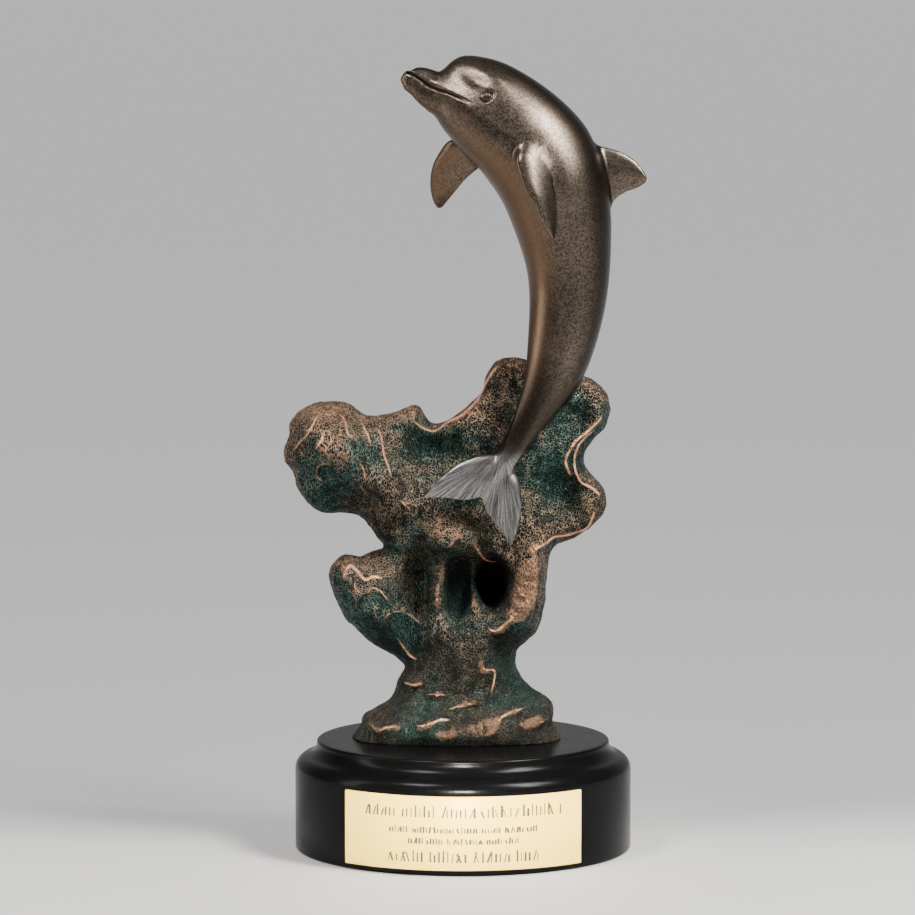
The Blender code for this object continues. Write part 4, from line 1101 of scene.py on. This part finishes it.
def coralMaterial(grain, rub, wander):
    made, tree, shader = newMaterial("coral patina")
    look = coralFinish
    coords = put(tree, "ShaderNodeTexCoord").outputs
    where = coords["Object"]
    crest, rise, seam, line, pit, rim = masks(tree, "crest", "rise", "seam", "line", "pit", "rim")
    # painted light: faces turned upward count as lit
    upward = put(tree, "ShaderNodeSeparateXYZ", {"Vector": coords["Normal"]}).outputs["Z"]
    upward = maths(tree, "SUBTRACT", upward, 0.2)
    footward = ramped(tree, levelOf(tree, where), *look["footLevels"])
    # round grain in some zones, and drawn out upwards in others
    upright = put(tree, "ShaderNodeMapping", {"Vector": where, "Scale": (1.25, 1.25, 0.5)}).outputs["Vector"]
    grit = useGroup(tree, grain, {"Where": where, **look["grain"]})["Height"]
    drawn = useGroup(tree, grain, {"Where": upright, **look["grain"]})["Height"]
    zone = ramped(tree, noiseAt(tree, where, look["drawnZones"], 1.0), 0.47, 0.6)
    height = weighed(tree, (drawn, zone), (grit, opposite(tree, zone)))
    wrinkle = useGroup(tree, wander, {"Where": where, "Amount": rise, **look["wrinkles"]})["Line"]
    patches = maths(tree, "SUBTRACT", noiseAt(tree, where, look["wornPatches"], 3.0, 0.6), 0.5)
    # how worn and how lit each place is: higher on raised places, on worn patches and, as painted light, on
    # upward-facing faces; lower, as painted shade, in the hollows, in the crease and towards the foot, and a
    # little lower on the rims
    wornAndLit = weighed(tree, (rise, 0.4), (patches, 1.3), (upward, 0.4), (pit, -0.6), (footward, -0.4),
                      (rim, -0.15), (seam, -0.25))
    # the grain's tops, more of them where the coral is worn and painted lit
    tops = ramped(tree, weighed(tree, (height, 1.0), (wornAndLit, 0.09)), 0.62, 0.73)
    green = ramped(tree, noiseAt(tree, where, look["greenZones"], 3.0, 0.6), 0.43, 0.6)
    green = maths(tree, "MULTIPLY", green, ramped(tree, wornAndLit, 0.6, -0.3), clamp=True)
    green = maths(tree, "MAXIMUM", green, maths(tree, "MULTIPLY", seam, 0.7))
    ground = mixed(tree, green, look["black"], look["verdigris"])
    # a warmer brown on the rims and on worn, lit places: partly rubbed patina, partly a painted highlight of
    # light catching the edges
    warm = ramped(tree, weighed(tree, (rim, 0.7), (wornAndLit, 0.5)), 0.15, 0.8)
    warm = maths(tree, "MULTIPLY", warm, opposite(tree, green))
    ground = mixed(tree, warm, ground, look["brown"])
    # dim and teal flecks in painted shade, pale ones where the coral is worn and painted lit
    dim = mixed(tree, green, look["dimFleck"], look["tealFleck"])
    fleck = mixed(tree, ramped(tree, wornAndLit, -0.3, 0.5), dim, look["paleFleck"])
    fleck = mixed(tree, maths(tree, "MULTIPLY", warm, 0.15), fleck, look["copper"])
    ground = mixed(tree, tops, ground, fleck)
    # painted shade: the deep hollows go nearly black, and the coral also darkens towards its foot
    paintedShadeAndFoot = maths(tree, "MAXIMUM", maths(tree, "MULTIPLY", pit, 0.85), maths(tree, "MULTIPLY", footward, 0.6))
    ground = mixed(tree, paintedShadeAndFoot, ground, look["black"])
    # bare copper along the ridges and wrinkles, and a little on what stands out
    rubbed = useGroup(tree, rub, {"Where": where, "Crest": crest, "Rise": rise, **look["rubbing"]})["Share"]
    broken = ramped(tree, noiseAt(tree, where, look["lineBreaks"], 2.0), 0.3, 0.6, 0.35, 1.0)
    wrinkle = maths(tree, "MULTIPLY", wrinkle, ramped(tree, wornAndLit, -0.1, 0.5))
    line = maths(tree, "MULTIPLY", ramped(tree, line, 0.5, 0.84), broken)
    bare = maths(tree, "MAXIMUM", line, maths(tree, "MULTIPLY", wrinkle, 0.65))
    bare = maths(tree, "MAXIMUM", bare, maths(tree, "MULTIPLY", rubbed, 0.12), clamp=True)
    metal = maths(tree, "MAXIMUM", bare, tops)
    tree.links.new(mixed(tree, bare, ground, look["copper"]), shader.inputs["Base Color"])
    tree.links.new(maths(tree, "MULTIPLY", metal, 0.8, clamp=True), shader.inputs["Metallic"])
    tree.links.new(ramped(tree, metal, 0.0, 1.0, 0.62, 0.4), shader.inputs["Roughness"])
    shader.inputs["Specular IOR Level"].default_value = 0.1
    relief = weighed(tree, (height, 1.0), (wrinkle, 0.3))
    tree.links.new(bumped(tree, relief, 0.9 * mm, 1.0), shader.inputs["Normal"])
    return made


bronzeFinish = {
    "dark": (0.025, 0.019, 0.015),
    "light": (0.17, 0.135, 0.105),
    "belly": (0.13, 0.075, 0.042),
    # the painted shade on the dolphin's back, also used for its dark stalk
    "back": (0.022, 0.017, 0.013),
    "copper": (0.5, 0.25, 0.14),
    "pewter": (0.36, 0.36, 0.36),
    # painted shade for the crease round the dolphin
    "crease": (0.004, 0.008, 0.007),
    "grain": {"Size": 0.44 * mm, "Lumps": 0.15, "Net": 0.2},
    "rubbing": {"Start": 0.84, "Softness": 0.16, "Break": 0.2, "Size": 3 * mm},
    "clouds": 40.0,  # to the metre
    # levels between which one tone gives way to the next
    "headLevels": (91.8, 84.8),
    "stalkLevels": (61.5, 50.6),
    "flukeLevels": (44.4, 41.7),
    "fan": (5.8, 43.2),  # where the flukes' streaks start, in x and z
    "streaksRound": 46.0,
    "streaksOut": 70.0,
}


def flukeStreaks(tree, where):
    # streaks that fan out from the root of the flukes
    look = bronzeFinish
    place = put(tree, "ShaderNodeSeparateXYZ", {"Vector": where}).outputs
    aside = maths(tree, "SUBTRACT", place["X"], axisX + look["fan"][0] * hundredth)
    below = maths(tree, "SUBTRACT", place["Z"], castLow.z + look["fan"][1] * hundredth)
    far = maths(tree, "ADD", maths(tree, "POWER", aside, 2.0), maths(tree, "POWER", below, 2.0))
    fanned = put(tree, "ShaderNodeCombineXYZ", {
        "X": maths(tree, "MULTIPLY", maths(tree, "ARCTAN2", aside, below), look["streaksRound"]),
        "Y": maths(tree, "MULTIPLY", maths(tree, "SQRT", far), look["streaksOut"]),
        "Z": place["Y"]})
    return noiseAt(tree, fanned.outputs[0], 1.0, 4.0, 0.65)


def bronzeMaterial(grain, rub):
    made, tree, shader = newMaterial("dolphin bronze")
    look = bronzeFinish
    where = put(tree, "ShaderNodeTexCoord").outputs["Object"]
    crest, seam, belly = masks(tree, "crest", "seam", "belly")
    level = levelOf(tree, where)
    cast = useGroup(tree, grain, {"Where": where, **look["grain"]})
    speck = cast["Height"]
    clouds = noiseAt(tree, where, look["clouds"], 3.0, 0.6)
    tone = weighed(tree, (cast["Tone"], 0.45), (clouds, 0.5))
    ground = mixed(tree, ramped(tree, tone, 0.1, 0.95), look["dark"], look["light"])
    # painted shade: the side turned up and away from the belly, the back, is darkened
    shaded = ramped(tree, weighed(tree, (belly, 1.0), (clouds, 0.3)), 0.0, -0.65)
    ground = mixed(tree, maths(tree, "MULTIPLY", shaded, 0.85), ground, look["back"])
    # a warm belly, paler on the throat, and a dark stalk before the pewter flukes
    silver = ramped(tree, weighed(tree, (level, 1.0), (clouds, 1.55)), *look["flukeLevels"])
    warm = ramped(tree, weighed(tree, (belly, 1.0), (clouds, 0.4)), 0.45, 1.0)
    warm = maths(tree, "MULTIPLY", warm, opposite(tree, silver))
    warm = maths(tree, "MULTIPLY", warm, ramped(tree, level, *look["headLevels"], 0.35, 1.0))
    ground = mixed(tree, maths(tree, "MULTIPLY", warm, 0.7), ground, look["belly"])
    stalk = ramped(tree, weighed(tree, (level, 1.0), (clouds, 3.9)), *look["stalkLevels"])
    ground = mixed(tree, maths(tree, "MULTIPLY", stalk, 0.75), ground, look["back"])
    streaks = flukeStreaks(tree, where)
    brushed = weighed(tree, (streaks, 0.9), (speck, 0.3))
    pewter = mixed(tree, ramped(tree, brushed, 0.42, 0.8), look["dark"], look["pewter"])
    ground = mixed(tree, maths(tree, "MULTIPLY", silver, 0.9), ground, pewter)
    rubbed = useGroup(tree, rub, {"Where": where, "Crest": crest, **look["rubbing"]})["Share"]
    ground = mixed(tree, maths(tree, "MULTIPLY", rubbed, 0.75), ground, look["copper"])
    # painted shade: a near-black green along the crease where the dolphin meets the coral
    ground = mixed(tree, maths(tree, "MULTIPLY", seam, 0.7), ground, look["crease"])
    tree.links.new(ground, shader.inputs["Base Color"])
    shader.inputs["Metallic"].default_value = 0.95
    tree.links.new(ramped(tree, speck, 0.2, 0.8, 0.38, 0.28), shader.inputs["Roughness"])
    grainy = weighed(tree, (speck, 1.0), (maths(tree, "MULTIPLY", streaks, silver), 0.5))
    tree.links.new(bumped(tree, grainy, 0.05 * mm, 0.5), shader.inputs["Normal"])
    return made


def lacquerMaterial(grain):
    made, tree, shader = newMaterial("black satin lacquer")
    where = put(tree, "ShaderNodeTexCoord").outputs["Object"]
    peel = useGroup(tree, grain, {"Where": where, "Size": 2.2 * mm, "Lumps": 0.8})["Height"]
    dust = ramped(tree, noiseAt(tree, where, 1400.0, 2.0), 0.66, 0.8)
    colour = mixed(tree, maths(tree, "MULTIPLY", dust, 0.35), (0.002, 0.002, 0.0022), (0.012, 0.012, 0.012))
    tree.links.new(colour, shader.inputs["Base Color"])
    tree.links.new(ramped(tree, peel, 0.2, 0.9, 0.2, 0.26), shader.inputs["Roughness"])
    shader.inputs["Specular IOR Level"].default_value = 0.06
    tree.links.new(bumped(tree, peel, 0.05 * mm, 0.2), shader.inputs["Normal"])
    return made


def plateMaterial(grain):
    made, tree, shader = newMaterial("brushed gold")
    where = put(tree, "ShaderNodeTexCoord").outputs["Object"]
    along = put(tree, "ShaderNodeMapping", {"Vector": where, "Scale": (60.0, 60.0, 9000.0)})
    brushed = noiseAt(tree, along.outputs["Vector"], 1.0, 4.0, 0.6)
    clouds = noiseAt(tree, where, 30.0, 2.0)
    colour = mixed(tree, ramped(tree, brushed, 0.3, 0.7), (0.95, 0.63, 0.09), (1.0, 0.7, 0.13))
    colour = mixed(tree, maths(tree, "MULTIPLY", clouds, 0.3), colour, (1.0, 0.73, 0.15))
    tree.links.new(colour, shader.inputs["Base Color"])
    shader.inputs["Metallic"].default_value = 0.05
    shader.inputs["Specular IOR Level"].default_value = 0.1
    tree.links.new(ramped(tree, brushed, 0.2, 0.8, 0.32, 0.42), shader.inputs["Roughness"])
    tree.links.new(bumped(tree, brushed, 0.02 * mm, 0.3), shader.inputs["Normal"])
    return made


def enamelMaterial(grain):
    made, tree, shader = newMaterial("dark enamel")
    where = put(tree, "ShaderNodeTexCoord").outputs["Object"]
    speck = useGroup(tree, grain, {"Where": where, "Size": 0.3 * mm, "Lumps": 0.3})["Height"]
    tree.links.new(mixed(tree, ramped(tree, speck, 0.3, 0.7), (0.02, 0.014, 0.008), (0.05, 0.035, 0.02)),
                   shader.inputs["Base Color"])
    shader.inputs["Roughness"].default_value = 0.5
    tree.links.new(bumped(tree, speck, 0.02 * mm, 0.3), shader.inputs["Normal"])
    return made


# Geometry Nodes pieces


def newTree(name, sockets):
    tree = bpy.data.node_groups.new(name, "GeometryNodeTree")
    tree.interface.new_socket("Geometry", in_out="INPUT", socket_type="NodeSocketGeometry")
    for label, kind in sockets:
        tree.interface.new_socket(label, in_out="INPUT", socket_type="NodeSocket" + kind)
    tree.interface.new_socket("Geometry", in_out="OUTPUT", socket_type="NodeSocketGeometry")
    return tree, tree.nodes.new("NodeGroupInput").outputs, tree.nodes.new("NodeGroupOutput").inputs


def grown(name, mesh, tree, values):
    # the mesh that the tree makes with these values for its named inputs
    piece = addObject(name, mesh)
    step = piece.modifiers.new(tree.name, "NODES")
    step.node_group = tree
    for socket in tree.interface.items_tree:
        if socket.in_out == "INPUT" and socket.name in values:
            step[socket.identifier] = values[socket.name]
    return bakedMesh(piece)


def finishTree(tree, shape, look, out):
    # real geometry, in one material, as what the tree gives
    whole = put(tree, "GeometryNodeRealizeInstances", {"Geometry": shape})
    finished = put(tree, "GeometryNodeSetMaterial", {"Geometry": whole.outputs["Geometry"], "Material": look})
    tree.links.new(finished.outputs["Geometry"], out["Geometry"])


def latheTree():
    # sweeps a half profile, given as radius along X and height along Y, once round the axis
    tree, given, out = newTree(
        "turned on the lathe", [("Segments", "Int"), ("Inner", "Float"), ("Finish", "Material")])
    profile = put(tree, "GeometryNodeMeshToCurve", {"Mesh": given["Geometry"]}).outputs["Curve"]
    circle = put(tree, "GeometryNodeCurvePrimitiveCircle",
                 {"Resolution": given["Segments"], "Radius": given["Inner"]})
    upright = put(tree, "GeometryNodeSetCurveNormal", {"Curve": circle.outputs["Curve"]}, mode="Z_UP")
    turned = put(tree, "GeometryNodeCurveToMesh",
                 {"Curve": upright.outputs["Curve"], "Profile Curve": profile})
    closed = put(tree, "GeometryNodeMergeByDistance",
                 {"Geometry": turned.outputs["Mesh"], "Distance": base["weld"]})
    finishTree(tree, closed.outputs["Geometry"], given["Finish"], out)
    return tree


base = {
    "shoulderInset": 8.2 * mm,
    "shoulderRise": 11 * mm,
    "topEdgeRadius": 1 * mm,
    "footBevel": 1.2 * mm,
    "arcSteps": 12,
    "edgeSteps": 6,
    "bevelSteps": 4,
    "segments": 224,
    "sweepRadius": 1 * mm,
    "weld": 0.002 * mm,
}


def baseProfile():
    # from the middle of the top, over the S-shaped shoulder, to the middle of the underside
    low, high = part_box("base")
    outer, top = (high.x - low.x) / 2, high.z
    disc = outer - base["shoulderInset"]
    rise = base["shoulderRise"] - base["topEdgeRadius"]
    wallTop = top - base["shoulderRise"]
    bend = 2 * math.atan2(base["shoulderInset"], rise)
    radius = rise / math.sin(bend) / 2
    steps = base["arcSteps"]
    points = [(0, top)] + [(disc * share, top) for share in (0.3, 0.6, 0.8, 0.92)]
    for k in range(base["edgeSteps"] + 1):
        turn = math.pi / 2 * k / base["edgeSteps"]
        edge = base["topEdgeRadius"]
        points.append((disc - edge * (1 - math.sin(turn)), top - edge * (1 - math.cos(turn))))
    for k in range(1, steps + 1):
        turn = bend * k / steps
        points.append((disc + radius * (1 - math.cos(turn)), wallTop + rise - radius * math.sin(turn)))
    for k in range(1, steps + 1):
        turn = bend * (1 - k / steps)
        points.append((outer - radius * (1 - math.cos(turn)), wallTop + radius * math.sin(turn)))
    points += [(outer, wallTop * share) for share in (0.9, 0.5, 0.15)]
    for k in range(base["bevelSteps"] + 1):
        turn = math.pi / 2 * k / base["bevelSteps"]
        bevel = base["footBevel"]
        points.append((outer - bevel * (1 - math.cos(turn)), low.z + bevel * (1 - math.sin(turn))))
    return points + [(outer * 0.9, low.z), (0, low.z)]


def buildBase(look):
    inner = base["sweepRadius"]
    mesh = bpy.data.meshes.new("base profile")
    points = [(radius - inner, -height, 0) for radius, height in baseProfile()]  # the sweep turns Y downwards
    mesh.from_pydata(points, [(i, i + 1) for i in range(len(points) - 1)], [])
    values = {"Segments": base["segments"], "Inner": inner, "Finish": look}
    made = grown("turned_base", mesh, latheTree(), values)
    shape = bmesh.new()
    shape.from_mesh(made)
    bmesh.ops.recalc_face_normals(shape, faces=shape.faces[:])
    shape.to_mesh(made)
    shape.free()
    made.shade_smooth()
    made.set_sharp_from_angle(angle=math.radians(60))
    piece = addObject("turned_base", made)
    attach(piece, "root")
    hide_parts("base")
    return piece


plate = {
    "gap": 0.3 * mm,  # between the base and the plate
    "cornerBevel": 0.25 * mm,
    "columns": 96,
    "strokeDepth": 0.12 * mm,
    "strokeWidth": 0.62 * mm,
    # each row: its middle as a share down the plate, its height, its half-angle, strokes, group, seed
    "rows": [
        (0.2, 4.6 * mm, 33.5, 46, 9, 3),
        (0.45, 2.4 * mm, 24.5, 52, 8, 5),
        (0.6, 2.4 * mm, 18.0, 40, 7, 8),
        (0.81, 4.4 * mm, 25.0, 36, 10, 13),
    ],
}


def randomValue(tree, low, high, seed):
    # one random number between the two for each stroke
    made = put(tree, "FunctionNodeRandomValue", data_type="FLOAT")
    made.inputs[2].default_value, made.inputs[3].default_value = low, high
    tree.links.new(seed, made.inputs["Seed"])
    return made.outputs[1]


def strokeTree():
    # upright and leaning strokes of uneven height in groups along an arc
    tree, given, out = newTree(
        "rows of strokes",
        [("Radius", "Float"), ("Half Angle", "Float"), ("Foot", "Float"), ("Height", "Float"),
         ("Width", "Float"), ("Depth", "Float"), ("Count", "Int"), ("Group", "Int"), ("Seed", "Int"),
         ("Finish", "Material")])
    start = maths(tree, "SUBTRACT", -math.pi / 2, given["Half Angle"])
    sweep = maths(tree, "MULTIPLY", given["Half Angle"], 2.0)
    arc = put(tree, "GeometryNodeCurveArc",
              {"Resolution": 64, "Radius": given["Radius"], "Start Angle": start, "Sweep Angle": sweep})
    foot = put(tree, "ShaderNodeCombineXYZ", {"Z": given["Foot"]}).outputs[0]
    raised = put(tree, "GeometryNodeTransform", {"Geometry": arc.outputs["Curve"], "Translation": foot})
    points = put(tree, "GeometryNodeCurveToPoints",
                 {"Curve": raised.outputs["Geometry"], "Count": given["Count"]}, mode="COUNT")
    index = put(tree, "GeometryNodeInputIndex").outputs[0]
    inGroup = maths(tree, "MODULO", index, given["Group"])
    shown = maths(tree, "LESS_THAN", inGroup, maths(tree, "SUBTRACT", given["Group"], 1.5))
    place = put(tree, "ShaderNodeSeparateXYZ", {"Vector": put(tree, "GeometryNodeInputPosition").outputs[0]})
    turn = maths(tree, "ADD", maths(tree, "ARCTAN2", place.outputs["Y"], place.outputs["X"]), math.pi / 2)
    seeds = [maths(tree, "ADD", given["Seed"], shift) for shift in range(4)]
    slant, chance = randomValue(tree, -0.42, 0.42, seeds[0]), randomValue(tree, 0, 1, seeds[1])
    leaning = maths(tree, "MULTIPLY", slant, maths(tree, "GREATER_THAN", chance, 0.55))
    rotation = put(tree, "ShaderNodeCombineXYZ", {"Y": leaning, "Z": turn}).outputs[0]
    thick, tall = randomValue(tree, 0.5, 1.3, seeds[2]), randomValue(tree, 0.55, 1.0, seeds[3])
    size = put(tree, "ShaderNodeCombineXYZ", {"X": thick, "Y": 1.0, "Z": tall})
    bar = put(tree, "ShaderNodeCombineXYZ", {"X": given["Width"], "Y": given["Depth"], "Z": given["Height"]})
    cube = put(tree, "GeometryNodeMeshCube", {"Size": bar.outputs[0]}).outputs["Mesh"]
    half = put(tree, "ShaderNodeCombineXYZ", {"Z": maths(tree, "MULTIPLY", given["Height"], 0.5)}).outputs[0]
    standing = put(tree, "GeometryNodeTransform", {"Geometry": cube, "Translation": half}).outputs["Geometry"]
    strokes = put(tree, "GeometryNodeInstanceOnPoints",
                  {"Points": points.outputs["Points"], "Instance": standing, "Selection": shown,
                   "Rotation": rotation, "Scale": size.outputs[0]})
    finishTree(tree, strokes.outputs["Instances"], given["Finish"], out)
    return tree


def plateSheet():
    # the CAD plate's own arc and height, with its long edges eased
    low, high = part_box("nameplate")
    outer = -low.y
    half = math.asin(high.x / outer)
    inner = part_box("base")[1].x + plate["gap"]
    bevel = plate["cornerBevel"]
    section = [(inner, low.z), (outer - bevel, low.z), (outer - bevel * 0.3, low.z + bevel * 0.3),
               (outer, low.z + bevel), (outer, high.z - bevel), (outer - bevel * 0.3, high.z - bevel * 0.3),
               (outer - bevel, high.z), (inner, high.z)]
    rings = []
    for k in range(plate["columns"] + 1):
        turn = -math.pi / 2 + half * (2 * k / plate["columns"] - 1)
        rings.append([(radius * math.cos(turn), radius * math.sin(turn), z) for radius, z in section])
    return loft(rings, "plate sheet"), outer, low.z, high.z


def buildPlate(look, strokeLook):
    sheet, outer, lowZ, highZ = plateSheet()
    sheet.materials.append(look)
    whole = bmesh.new()
    whole.from_mesh(sheet)
    tree = strokeTree()
    for middle, height, half, count, group, seed in plate["rows"]:
        foot = highZ - (highZ - lowZ) * middle - height / 2
        row = grown("row", bpy.data.meshes.new("row"), tree, {
            "Radius": outer, "Half Angle": math.radians(half), "Foot": foot, "Height": height,
            "Width": plate["strokeWidth"], "Depth": plate["strokeDepth"], "Count": count, "Group": group,
            "Seed": seed, "Finish": strokeLook})
        before = len(whole.faces)
        whole.from_mesh(row)
        whole.faces.ensure_lookup_table()
        for face in whole.faces[before:]:
            face.material_index = 1
    mesh = meshFrom(whole, "engraved_plate")
    mesh.materials.append(look)
    mesh.materials.append(strokeLook)
    mesh.shade_smooth()
    mesh.set_sharp_from_angle(angle=math.radians(35))
    piece = addObject("engraved_plate", mesh)
    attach(piece, "root")
    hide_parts("nameplate")
    return piece


def buildCasting(looks):
    mesh = castingMesh(looks)
    mesh.shade_smooth()
    mesh.set_sharp_from_angle(angle=math.radians(58))
    piece = addObject("dolphin_casting", mesh)
    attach(piece, "root")
    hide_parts("dolphin_and_coral")
    return piece


# Stage, light and camera

studio = {
    # in front of and under the trophy, and behind it: the floor's colour, and what it glows by itself
    "nearFloor": (0.46, 0.455, 0.45),
    "farFloor": (0.05, 0.05, 0.05),
    "nearGlow": 0.04,
    "farGlow": 0.58,
    "brightUntil": -0.05,  # along Y
    "dimFrom": 0.14,
    "floorRadius": 400,
    "room": 0.04,
    "backdrop": 0.4,  # low behind the trophy
    # each light: azimuth and elevation from the front, distance, width, height, watts, colour, the height
    # that it is aimed at, and its spread in degrees
    "lights": {
        "key": (52, 43, 1.3, 0.2, 0.65, 46, (1.0, 0.98, 0.95), 0.16, 180),
        "head light": (68, 46, 1.3, 0.12, 0.4, 14, (1.0, 0.98, 0.95), 0.2, 180),
        "left top": (-44, 56, 1.3, 0.3, 0.3, 18, (1.0, 0.98, 0.96), 0.16, 180),
        "left strip": (-82, 16, 1.1, 0.2, 0.9, 5, (1.0, 0.97, 0.94), 0.16, 180),
        "front fill": (-10, 16, 2.4, 1.2, 0.5, 4.5, (1.0, 1.0, 1.0), 0.16, 180),
        "plate light": (0, 12, 0.7, 0.1, 0.03, 0.14, (1.0, 0.95, 0.85), 0.015, 12),
    },
}
camera = {
    "place": (-2.08 * mm, -1800 * mm, 325 * mm),
    "dip": 5.611,
    "lens": 189.0,
    "sensor": 36.0,
}


def buildStage():
    shape = bmesh.new()
    bmesh.ops.create_circle(shape, cap_ends=True, segments=96, radius=studio["floorRadius"])
    floor = addObject("floor", meshFrom(shape, "floor"))
    floor.data.materials.append(floorMaterial())
    bpy.context.scene.world = studioWorld()
    for name, light in studio["lights"].items():
        buildLight(name, *light)


def floorMaterial():
    look, tree, shader = newMaterial("pale floor")
    where = put(tree, "ShaderNodeTexCoord").outputs["Object"]
    back = put(tree, "ShaderNodeSeparateXYZ", {"Vector": where}).outputs["Y"]
    far = ramped(tree, back, studio["brightUntil"], studio["dimFrom"])
    glow = weighed(tree, (opposite(tree, far), studio["nearGlow"]), (far, studio["farGlow"]))
    grey = put(tree, "ShaderNodeCombineColor", {0: glow, 1: glow, 2: glow}).outputs[0]
    tree.links.new(mixed(tree, far, studio["nearFloor"], studio["farFloor"]), shader.inputs["Base Color"])
    tree.links.new(grey, shader.inputs["Emission Color"])
    shader.inputs["Emission Strength"].default_value = 1.0
    shader.inputs["Roughness"].default_value = 0.8
    return look


def studioWorld():
    # an even room, with a brighter backdrop low behind the trophy
    world = bpy.data.worlds.new("studio")
    world.use_nodes = True
    sky = world.node_tree
    ahead = put(sky, "ShaderNodeTexCoord").outputs["Generated"]
    ahead = put(sky, "ShaderNodeSeparateXYZ", {"Vector": ahead}).outputs
    behind = weighed(sky, (ahead["Y"], 1.0), (ahead["Z"], -0.6))
    glow = ramped(sky, behind, 0.25, 0.75, studio["room"], studio["backdrop"])
    sky.links.new(glow, sky.nodes["Background"].inputs["Color"])
    return world


def buildLight(name, azimuth, elevation, distance, width, height, watts, colour, aim, spreadAngle):
    lamp = bpy.data.lights.new(name, "AREA")
    lamp.shape = "RECTANGLE"
    lamp.size, lamp.size_y = width, height
    lamp.energy, lamp.color = watts, colour
    lamp.spread = math.radians(spreadAngle)
    light = bpy.data.objects.new(name, lamp)
    bpy.context.scene.collection.objects.link(light)
    a, e = math.radians(azimuth), math.radians(elevation)
    away = Vector((math.sin(a) * math.cos(e), -math.cos(a) * math.cos(e), math.sin(e)))
    light.location = Vector((0, 0, aim)) + away * distance
    light.rotation_mode = "QUATERNION"
    light.rotation_quaternion = away.to_track_quat("Z", "Y")
    light.visible_camera = False


def buildCamera():
    lens = bpy.data.cameras.new("front")
    lens.lens, lens.sensor_width = camera["lens"], camera["sensor"]
    lens.clip_start, lens.clip_end = 0.05, 1000
    eye = bpy.data.objects.new("front", lens)
    bpy.context.scene.collection.objects.link(eye)
    eye.location = camera["place"]
    eye.rotation_euler = (math.radians(90 - camera["dip"]), 0, 0)
    bpy.context.scene.camera = eye


grain, rub, wander = grainGroup(), rubGroup(), wanderGroup()
buildCasting([coralMaterial(grain, rub, wander), bronzeMaterial(grain, rub)])
print("casting done")
buildBase(lacquerMaterial(grain))
print("base done")
buildPlate(plateMaterial(grain), enamelMaterial(grain))
print("plate done")
buildStage()
buildCamera()
